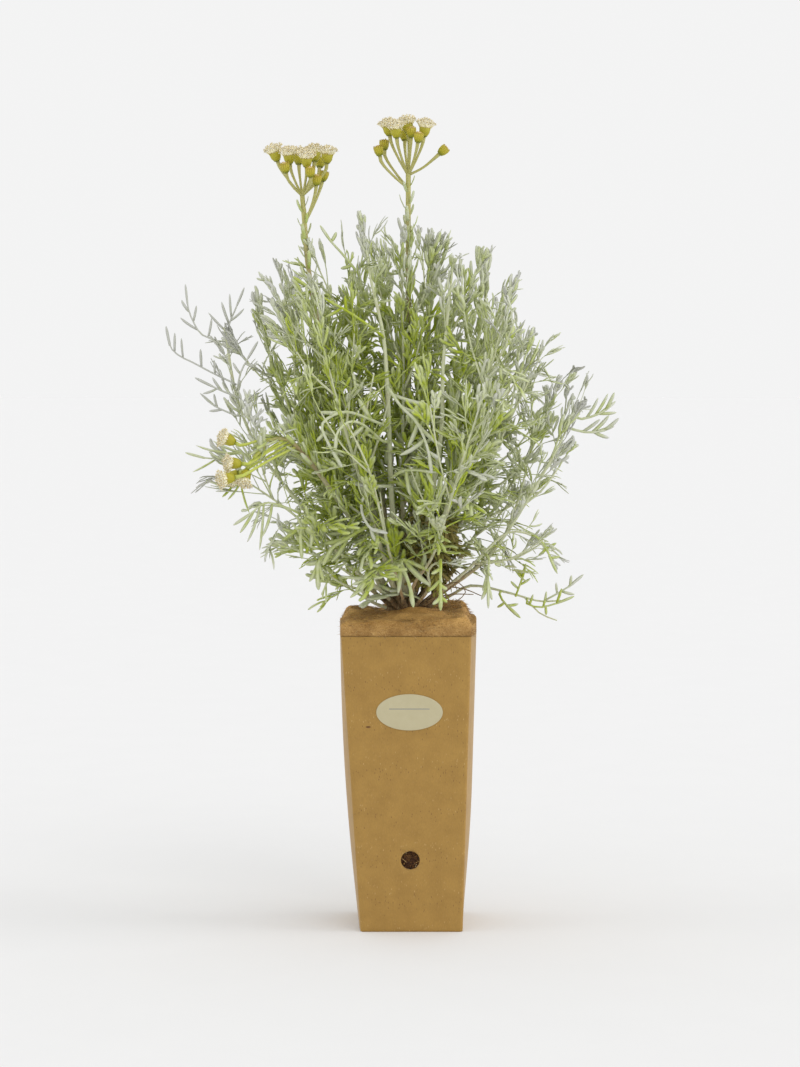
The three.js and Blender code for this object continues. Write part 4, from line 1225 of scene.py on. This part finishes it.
def branch_route(stalk, foot, facing, fork):
    """The route of a head's branch: off the stalk and up under the head, in line with it."""
    axis = unit(np.array(facing, float))
    end = np.array(foot, float) - axis * CLEARANCE
    neck = end - axis * 4
    (start,), _, _ = stalk.at([fork])
    middle = start + (neck - start) * 0.55 - stalk.tangents[-1] * 1.5
    return Route([start, middle, neck, end + axis * 0.5], 16)


def make_stalk(side, rng):
    """One flowering stalk: its stem, the branches that carry the heads, and its leaves."""
    radius, bare, _, heads = STALKS[side]
    route = ROUTES[side]
    surface = Surface("stalk", "leaf", "bract")
    share = np.linspace(0, 1, int(route.length / 5))
    radii = radius * (1.2 - 0.1 * share)
    # the drooping stalk is the freshest, yellow-green up to the heads
    freshest = 0.0 if side == "drooping" else 0.06
    add_tube(surface, "stalk", route, radii, 10, ribs=0.06, age=np.maximum(1 - share, freshest))
    for foot, facing, _, fork in heads:
        branch = branch_route(route, foot, facing, fork)
        steps = np.linspace(0, 1, 9)
        # slimmest in the middle, and swollen under the head
        widths = 1.08 - 0.17 * np.sin(math.pi * np.minimum(steps * 1.1, 1)) + 0.5 * steps ** 4
        add_tube(surface, "stalk", branch, widths, 7, age=np.full(9, freshest))
        # a few scales along the branch
        points, tangents, sides = branch.at([0.3, 0.55, 0.8])
        heading = unit(tangents + 0.6 * sides)
        add_blades(surface, "bract", points, heading, np.cross(tangents, sides), 3.2, 0.8, 0.3, 0.4,
                   square_to(tangents, heading), profile=BRACT)
    # leaves: divided ones low down, then small and narrow ones up to the flowers
    shares = leaf_shares(route, 0.2, 9.0)
    shares = shares[shares < bare]
    leaves_along(surface, rng, route, shares, leaf_sizes(rng, shares, 42), STALK_LEAF_SPLAY, 2.4)
    points, tangents, sides = route.at(np.linspace(bare, 0.955, NARROW_LEAVES))
    out = turned(sides, np.cross(tangents, sides), GOLDEN_ANGLE * np.arange(NARROW_LEAVES))
    heading = unit(tangents + 0.95 * out)
    lengths = np.linspace(24, 12, NARROW_LEAVES) * rng.uniform(0.8, 1.1, NARROW_LEAVES)
    add_blades(surface, "leaf", points, heading, square_to(np.cross(tangents, out), heading), lengths, 3.2,
               LEAF_THICKNESS, 0.6, square_to(tangents, heading), wool=rng.uniform(0.2, 0.65, NARROW_LEAVES))
    place_piece(surface.build(f"{side}_flowering_stalk"), f"{side}_flower_stalk")


# The carton and what fills it

def side_bulge(side, share):
    """How far a side panel is pushed out: the right one up to the rim, the left one halfway up."""
    if side > 0:
        return SIDE_BULGE * np.sin(math.pi / 2 * np.minimum(1, share * 2))
    return SIDE_BULGE * np.sin(math.pi * (0.9 - 0.8 * share))


def half_width(z):
    """Half the width of a flat carton panel at a height."""
    return (BASE_WIDTH + (TOP_WIDTH - BASE_WIDTH) * z / RIM_HEIGHT) / 2


def carton_outline(z, inset):
    """The carton's outline at a height, seen from above, starting at the right front corner, with
    folded corners of a small radius."""
    share = min(max(z / RIM_HEIGHT, 0), 1)
    half = half_width(share * RIM_HEIGHT) - inset
    fold = max(FOLD_RADIUS - inset, 0.4)
    points = []
    for x_way, y_way in ((1, 0), (0, 1), (-1, 0), (0, -1)):
        for along in np.linspace(-1, 1, PANEL_STEPS):
            reach = along * (half - fold)
            bulge = side_bulge(x_way, share) * (1 - along * along) if x_way else 0.0
            x = x_way * (half + bulge) - y_way * reach
            y = x_way * reach + y_way * half
            points.append((x + TOP_SHIFT_X * share, y, z))
        corner = np.array([x_way - y_way, x_way + y_way]) * (half - fold)
        for turn in (math.pi / 8, math.pi / 4, 3 * math.pi / 8):
            out = np.array([x_way * math.cos(turn) - y_way * math.sin(turn),
                            y_way * math.cos(turn) + x_way * math.sin(turn)])
            points.append((*(corner + out * fold + (TOP_SHIFT_X * share, 0)), z))
    return np.array(points)


class PLANT_OT_carton(bpy.types.Operator):
    """Fold the kraft carton: bulging panels, rounded creases and the hole in the front"""

    bl_idname = "potted.carton"
    bl_label = "Carton"

    def execute(self, context):
        settings = context.scene.potted_carton
        thickness = settings.board_thickness / MM
        surface = Surface("board")
        heights = np.concatenate([[0.0, 0.6], np.linspace(3, RIM_HEIGHT - 1, 44), [RIM_HEIGHT]])
        outside = [carton_outline(z, 0.5 if z == 0 else 0.0) for z in heights]
        inside = [carton_outline(z, thickness) for z in heights[::-1] if z > thickness]
        inside.append(carton_outline(thickness, thickness))
        stack_rings(surface, outside + inside, "board")
        thing = surface.build("folded_carton")
        self.cut_hole(thing, settings)
        place_piece(thing, "carton")
        return {"FINISHED"}

    def cut_hole(self, thing, settings):
        """Punch the drain hole through the front panel."""
        drill_mesh = bpy.data.meshes.new("drill")
        drill = bpy.data.objects.new("drill", drill_mesh)
        bpy.context.scene.collection.objects.link(drill)
        shape = bmesh.new()
        turn = Matrix.Rotation(math.pi / 2, 4, "X")
        bmesh.ops.create_cone(shape, cap_ends=True, segments=48, radius1=settings.hole_radius,
                              radius2=settings.hole_radius, depth=20 * MM, matrix=turn)
        front = -BASE_WIDTH / 2 * MM
        bmesh.ops.translate(shape, verts=shape.verts, vec=(settings.hole_x, front, settings.hole_height))
        shape.to_mesh(drill_mesh)
        shape.free()
        cut = thing.modifiers.new("hole", "BOOLEAN")
        cut.operation = "DIFFERENCE"
        cut.object = drill
        cut.solver = "EXACT"
        graph = bpy.context.evaluated_depsgraph_get()
        cut_mesh = bpy.data.meshes.new_from_object(thing.evaluated_get(graph))
        thing.modifiers.clear()
        thing.data = cut_mesh
        cut_mesh.name = thing.name
        bpy.data.objects.remove(drill)
        if len(cut_mesh.polygons) < 100:
            raise RuntimeError("the hole could not be cut")


# The label's rings, from the glued back to the face: how far out each stands, in millimetres, and
# its share of the label's size
LABEL_RINGS = [(-0.22, 1.0), (0.02, 1.0), (0.1, 0.995), (0.12, 0.97), (0.12, 0.5)]


class PLANT_OT_label(bpy.types.Operator):
    """Stick the oval label on the front panel, with one ruled line to write on"""

    bl_idname = "potted.label"
    bl_label = "Label"

    def execute(self, context):
        low, high = (np.array(corner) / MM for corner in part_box("oval_label"))
        centre = (low + high) / 2
        width, _, height = high - low
        lean = math.atan((TOP_WIDTH - BASE_WIDTH) / 2 / RIM_HEIGHT)
        upward = np.array([0, -math.sin(lean), math.cos(lean)])
        outward = np.array([0, -math.cos(lean), -math.sin(lean)])
        surface = Surface("label", "ink")
        oval = turned(np.array([width, 0, 0]) / 2, upward * height / 2 / math.cos(lean), even_turns(72))
        stack_rings(surface, [centre + outward * lift + share * oval for lift, share in LABEL_RINGS], "label")
        # the rule is 30 mm long and half a millimetre thick
        middle = centre + outward * LABEL_RINGS[-1][0] + upward * 2.5
        add_blades(surface, "ink", np.array([middle - (15, 0, 0)]), np.array([[1.0, 0, 0]]),
                   np.array([upward]), 30.0, 0.45, 0.05, STRAIGHT, np.array([upward]), profile=RULE)
        place_piece(surface.build("label_oval"), "oval_label")
        return {"FINISHED"}


WAVES = 24


def lumps(rings, rng, size):
    """A smooth random height for each point of the rings, summed from waves as long as size."""
    ways = rng.normal(0, 1, (WAVES, 3)) * 2.2 / size
    phases = rng.uniform(0, 2 * np.pi, WAVES)
    points = rings.reshape(-1, 3)
    return (np.sin(points @ ways.T + phases).sum(axis=1) / math.sqrt(WAVES)).reshape(rings.shape[:2])


def add_strands(surface, rng, starts, headings, lengths, widths, bends, tones, key="fibre"):
    """Add loose fibres: thin bent strands, lying any way round."""
    across = square_to(rng.normal(0, 1, starts.shape), headings)
    towards = square_to(rng.normal(0, 1, starts.shape), headings)
    add_blades(surface, key, starts, headings, across, lengths, widths, widths * 0.7, bends, towards,
               profile=FIBRE, sides=3, tone=tones)


SOIL_CRUMBS = 150
ROOTS = 26


class PLANT_OT_root_ball(bpy.types.Operator):
    """Fill the carton with soil, crumbled and rooted where the hole shows it"""

    bl_idname = "potted.root_ball"
    bl_label = "Root ball"

    def execute(self, context):
        rng = np.random.default_rng(SEEDS["root_ball"])
        settings = context.scene.potted_carton
        surface = Surface("soil", "fibre")
        inset = BOARD_THICKNESS + CLEARANCE
        heights = [inset, *np.linspace(6, 205, 50), SOIL_TOP]
        rings = np.array([carton_outline(z, inset + 0.6) for z in heights])
        rough = lumps(rings, rng, 9)
        centre = rings.mean(axis=1, keepdims=True)
        rings = centre + (rings - centre) * (1 - 0.012 * np.abs(rough))[..., None]
        stack_rings(surface, rings, "soil")
        # crumbs and roots behind the hole
        radius = settings.hole_radius / MM + 2
        middle = np.array([settings.hole_x, 0, settings.hole_height]) / MM
        front = inset - half_width(middle[2])
        spread = radius * np.sqrt(rng.random(SOIL_CRUMBS))[:, None]
        angles = rng.uniform(0, 2 * np.pi, SOIL_CRUMBS)
        starts = middle + spread * turned(np.array([1, 0, 0]), UP, angles)
        starts[:, 1] = front + rng.uniform(0.1, 1.2, SOIL_CRUMBS)
        ways = unit(rng.normal(0, 1, (SOIL_CRUMBS, 3)) * (1, 0.25, 1))
        across = square_to(rng.normal(0, 1, (SOIL_CRUMBS, 3)), ways)
        add_blades(surface, "soil", starts, ways, across, rng.uniform(1.2, 3, SOIL_CRUMBS), 1.6, 1.3, 0.3,
                   square_to(np.cross(ways, across), ways), profile=CRUMB, sides=5)
        picked = starts[:ROOTS] - (0, 0.2, 0)
        add_strands(surface, rng, picked, ways[:ROOTS], rng.uniform(4, 9, ROOTS),
                    rng.uniform(0.3, 0.6, ROOTS), rng.uniform(0.3, 1.2, ROOTS), rng.uniform(0.4, 1.0, ROOTS))
        place_piece(surface.build("soil_and_roots"), "root_ball")
        return {"FINISHED"}


def mat_height(x, y):
    """Height of the mulch mat at a place in the carton's mouth."""
    edge = np.maximum(np.abs(x - TOP_SHIFT_X), np.abs(y)) / (TOP_WIDTH / 2)
    slope = 1 + (x + 2 * y) / (3.5 * TOP_WIDTH)
    lip = 1 - np.clip((edge - 0.86) / 0.14, 0, 1) ** 2 * 0.5
    # it bulges in front of the crown
    bulge = 3.5 * np.exp(-((x - 2) / 26) ** 2 - ((y + 14) / 14) ** 2)
    # the left side stands higher, but its back quarter lies low, with a step where the mat was slit
    raised = 3.0 * np.clip((-20 - x) / 20, 0, 1)
    low = 4.0 * np.clip((-20 - x) / 3, 0, 1) * np.clip((y - 5) / 12, 0, 1)
    return RIM_HEIGHT + CLEARANCE + 14.5 * slope * lip + raised + bulge - low


LOOSE_FIBRES = 4200


class PLANT_OT_mulch_mat(bpy.types.Operator):
    """Lay the felted mulch mat in the carton's mouth, with loose fibres all over it"""

    bl_idname = "potted.mulch_mat"
    bl_label = "Mulch mat"

    def execute(self, context):
        rng = np.random.default_rng(SEEDS["mulch_mat"])
        surface = Surface("mulch", "fibre")
        shoulder = RIM_HEIGHT + CLEARANCE
        rings = [carton_outline(z, inset) for z, inset in (
            (MAT_UNDERSIDE, BOARD_THICKNESS + 0.6), (shoulder, BOARD_THICKNESS + 0.6), (shoulder, 0.3))]
        flat = np.array([1.0, 1.0, 0.0])
        mouth = carton_outline(RIM_HEIGHT, 0.0)
        middle = np.array([CROWN_CENTRE[0], 0, 0])
        # up the side of the pad, and then over its top to the middle
        for share in (0.0, 0.35, 0.7, 1.0):
            ring = mouth * flat
            ring[:, 2] = shoulder + share * (mat_height(ring[:, 0], ring[:, 1]) - shoulder)
            rings.append(ring)
        for inward in np.linspace(0.02, 0.97, 44):
            ring = mouth * flat * (1 - inward) + middle * inward
            ring[:, 2] = mat_height(ring[:, 0], ring[:, 1])
            rings.append(ring)
        rings = np.array(rings)
        top = rings[4:]
        flatness = np.clip((top[..., 2] - shoulder) / 9, 0, 1)
        bumps = 1.1 * lumps(top, rng, 26) + 0.55 * lumps(top, rng, 8)
        top[..., 2] += bumps * flatness
        stack_rings(surface, rings, "mulch")
        self.add_fibres(surface, rng)
        place_piece(surface.build("mulch_felt"), "mulch_mat")
        return {"FINISHED"}

    def add_fibres(self, surface, rng):
        """Scatter fibres over the top, a fifth of them along the front, back, left and right edges."""
        count = LOOSE_FIBRES
        half = TOP_WIDTH / 2 - 0.5
        x = rng.uniform(-half, half, count) + TOP_SHIFT_X
        y = rng.uniform(-half, half, count)
        rim = rng.random(count) < 0.2
        side = rng.integers(0, 4, count)
        x[rim & (side == 0)] = TOP_SHIFT_X - half
        x[rim & (side == 1)] = TOP_SHIFT_X + half + 2
        y[rim & (side == 2)] = -half
        y[rim & (side == 3)] = half
        z = mat_height(x, y) - np.where(rim, rng.uniform(0, 7, count), 0.2)
        starts = np.stack([x, y, z], axis=1)
        ways = rng.normal(0, 1, (count, 3)) * (1, 1, 0.15)
        outward = unit(np.stack([x - TOP_SHIFT_X, y, np.zeros(count)], axis=1))
        ways = unit(np.where(rim[:, None], ways - outward * dot(ways, outward) * 0.85, ways))
        lengths = rng.uniform(2.5, 8, count)
        starts = starts - ways * (lengths / 2)[:, None]
        starts[:, 0] = np.clip(starts[:, 0], TOP_SHIFT_X - half - 0.5, TOP_SHIFT_X + half + 4)
        add_strands(surface, rng, starts, ways, lengths, rng.uniform(0.2, 0.4, count),
                    rng.uniform(-0.9, 0.9, count), np.clip(rng.normal(0.42, 0.16, count), 0, 1))


WITHERED_LEAVES = 30


class PLANT_OT_crown(bpy.types.Operator):
    """Grow the knotty woody crown, with dry twigs and withered leaves around it"""

    bl_idname = "potted.crown"
    bl_label = "Crown"

    def execute(self, context):
        rng = np.random.default_rng(SEEDS["crown"])
        surface = Surface("bark", "withered")
        ring = turned(np.array([1, 0, 0]), np.array([0, 1, 0]), even_turns(40))
        rings = [CROWN_CENTRE + ring * r + (0, 0, z) for z, r in ((-40, 6), (-16, 8.5))]
        # a ball with its lower part drawn out into the soil
        for tilt in np.linspace(-0.42, 1.5, 20):
            rings.append(CROWN_CENTRE + CROWN_RADIUS * (ring * math.cos(tilt) + UP * math.sin(tilt)))
        rings = np.array(rings)
        knots = lumps(rings, rng, 7)
        rings = CROWN_CENTRE + (rings - CROWN_CENTRE) * (0.84 + 0.06 * knots)[..., None]
        stack_rings(surface, rings, "bark")
        for route in ROUTES.values():
            stub = Route([CROWN_CENTRE + (route.points[0] - CROWN_CENTRE) * 0.5, route.points[3]], 6)
            add_tube(surface, "bark", stub, [2.9, 2.8, 2.4, 2.0, 1.8], 8)
        for twig in DRY_TWIGS:
            add_tube(surface, "bark", Route(twig), np.linspace(0.8, 0.3, 14), 6)
        self.add_litter(surface, rng)
        place_piece(surface.build("woody_crown"), "crown")
        return {"FINISHED"}

    def add_litter(self, surface, rng):
        """Hang withered, curled leaves low on the stems that lean to the right."""
        count = WITHERED_LEAVES
        for name, route in ROUTES.items():
            if not name.startswith(("right", "centre_right", "pale_right")):
                continue
            if "low" in name or "outer" in name:
                continue
            shares = np.sort(rng.uniform(0.07, 0.27, count) * 260 / route.length)
            points, tangents, sides = route.at(shares)
            outward = turned(sides, np.cross(tangents, sides), rng.uniform(0, 2 * np.pi, count))
            heading = unit(outward + 0.5 * tangents + rng.normal(0, 0.3, (count, 3)))
            across = square_to(np.cross(tangents, outward), heading)
            towards = square_to(-UP + rng.normal(0, 0.7, (count, 3)), heading)
            add_leaves(surface, rng, points, heading, across, rng.uniform(9, 19, count), np.full(count, 2.7),
                       rng.uniform(0.5, 1.1, count), rng.uniform(1.2, 3.0, count), towards,
                       rng.uniform(0, 1, count), key="withered")


class PLANT_OT_shoots(bpy.types.Operator):
    """Grow the leafy shoots"""

    bl_idname = "potted.shoots"
    bl_label = "Leafy shoots"

    def execute(self, context):
        for seed, name in enumerate(SHOOTS, SEEDS["shoots"]):
            make_shoot(name, np.random.default_rng(seed))
        return {"FINISHED"}


class PLANT_OT_stalks(bpy.types.Operator):
    """Grow the flowering stalks with their branches"""

    bl_idname = "potted.stalks"
    bl_label = "Flowering stalks"

    def execute(self, context):
        for seed, side in enumerate(STALKS, SEEDS["stalks"]):
            make_stalk(side, np.random.default_rng(seed))
        return {"FINISHED"}


class PLANT_OT_heads(bpy.types.Operator):
    """Open the flower heads and the buds"""

    bl_idname = "potted.heads"
    bl_label = "Flower heads"

    def execute(self, context):
        rng = np.random.default_rng(SEEDS["heads"])
        for side, (_, _, _, heads) in STALKS.items():
            counts = {"head": 0, "bud": 0}
            for foot, facing, open_head, _ in heads:
                kind = "head" if open_head else "bud"
                counts[kind] += 1
                make_head(f"{side}_flower_{kind}_{counts[kind]}", foot, facing, open_head, rng)
        return {"FINISHED"}


FLOOR_RADIUS = 40.0
SKY_STRENGTH = 0.9
SOFTBOX_SPREAD = math.radians(35)

# Large, distant softboxes: where each one stands, and how strong it is
SOFTBOXES = {
    "key": ((0.8, -1.5, 1.9), 0.3),
    "right_side": ((2.0, -0.2, 0.9), 0.8),
    "left_side": ((-2.0, -0.2, 0.9), 0.3),
}


class PLANT_OT_stage(bpy.types.Operator):
    """Set the pale floor, the soft studio light and the camera"""

    bl_idname = "potted.stage"
    bl_label = "Stage"

    def execute(self, context):
        self.make_floor()
        self.make_lights(context)
        self.make_camera(context)
        return {"FINISHED"}

    def make_floor(self):
        """A floor that reaches far past what the camera sees."""
        mesh = bpy.data.meshes.new("floor")
        shape = bmesh.new()
        bmesh.ops.create_circle(shape, cap_ends=True, segments=96, radius=FLOOR_RADIUS)
        shape.to_mesh(mesh)
        shape.free()
        floor = bpy.data.objects.new("floor", mesh)
        mesh.materials.append(material("floor"))
        bpy.context.scene.collection.objects.link(floor)
        floor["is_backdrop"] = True

    def make_lights(self, context):
        """An even white room, and softboxes."""
        world = bpy.data.worlds.new("studio_white")
        world.use_nodes = True
        world.node_tree.nodes.clear()
        sky = add_node(world.node_tree, "Background", {"Color": "ffffff", "Strength": SKY_STRENGTH})
        add_node(world.node_tree, "OutputWorld", {"Surface": sky})
        context.scene.world = world
        for name, (place, strength) in SOFTBOXES.items():
            light = bpy.data.lights.new(name, "SUN")
            light.energy = strength
            light.angle = SOFTBOX_SPREAD
            lamp = bpy.data.objects.new(name, light)
            lamp.location = place
            lamp.rotation_euler = (-Vector(place)).to_track_quat("-Z", "Y").to_euler()
            context.scene.collection.objects.link(lamp)

    def make_camera(self, context):
        """A camera that looks at the front, a little downwards."""
        settings = context.scene.potted_stage
        camera = bpy.data.cameras.new("camera")
        camera.sensor_width = 36
        camera.lens = camera.sensor_width * settings.distance / settings.frame_height
        camera.clip_start = 0.05
        viewer = bpy.data.objects.new("camera", camera)
        viewer.location = (settings.aim_x, -settings.distance * math.cos(settings.tilt),
                           settings.aim_z + settings.distance * math.sin(settings.tilt))
        viewer.rotation_euler = (math.pi / 2 - settings.tilt, 0, 0)
        context.scene.collection.objects.link(viewer)
        context.scene.camera = viewer
        context.scene.view_settings.view_transform = "Standard"


OPERATORS = (
    PLANT_OT_carton,
    PLANT_OT_label,
    PLANT_OT_root_ball,
    PLANT_OT_mulch_mat,
    PLANT_OT_crown,
    PLANT_OT_shoots,
    PLANT_OT_stalks,
    PLANT_OT_heads,
    PLANT_OT_stage,
)
SETTINGS = {
    "potted_carton": CartonSettings,
    "potted_fill": FillSettings,
    "potted_foliage": FoliageSettings,
    "potted_flowers": FlowerSettings,
    "potted_stage": StageSettings,
}


class PLANT_PT_panel(bpy.types.Panel):
    """Lists the plant's pieces and their settings"""

    bl_idname = "PLANT_PT_panel"
    bl_label = "Potted plant"
    bl_space_type = "VIEW_3D"
    bl_region_type = "UI"
    bl_category = "Potted plant"

    def draw(self, context):
        for operator in OPERATORS:
            self.layout.operator(operator.bl_idname)
        for name, group in SETTINGS.items():
            box = self.layout.box()
            for setting in group.__annotations__:
                box.prop(getattr(context.scene, name), setting)


def register():
    """Register the settings, the operators and the panel."""
    for group in SETTINGS.values():
        bpy.utils.register_class(group)
    for name, group in SETTINGS.items():
        setattr(bpy.types.Scene, name, PointerProperty(type=group))
    for operator in OPERATORS:
        bpy.utils.register_class(operator)
    bpy.utils.register_class(PLANT_PT_panel)


def unregister():
    """Take away what register added."""
    bpy.utils.unregister_class(PLANT_PT_panel)
    for operator in reversed(OPERATORS):
        bpy.utils.unregister_class(operator)
    for name, group in SETTINGS.items():
        delattr(bpy.types.Scene, name)
        bpy.utils.unregister_class(group)


def main():
    """Make every piece and the stage, and work out how large the CAD and the visual model are."""
    register()
    bpy.ops.potted.carton()
    bpy.ops.potted.label()
    bpy.ops.potted.root_ball()
    bpy.ops.potted.mulch_mat()
    bpy.ops.potted.crown()
    bpy.ops.potted.shoots()
    bpy.ops.potted.stalks()
    bpy.ops.potted.heads()
    bpy.ops.potted.stage()
    boxes = {"cad": CAD_BOX, "visual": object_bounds()}
    {name: [[float(v) for v in corner] for corner in box] for name, box in boxes.items()}


if __name__ == "__main__":
    main()
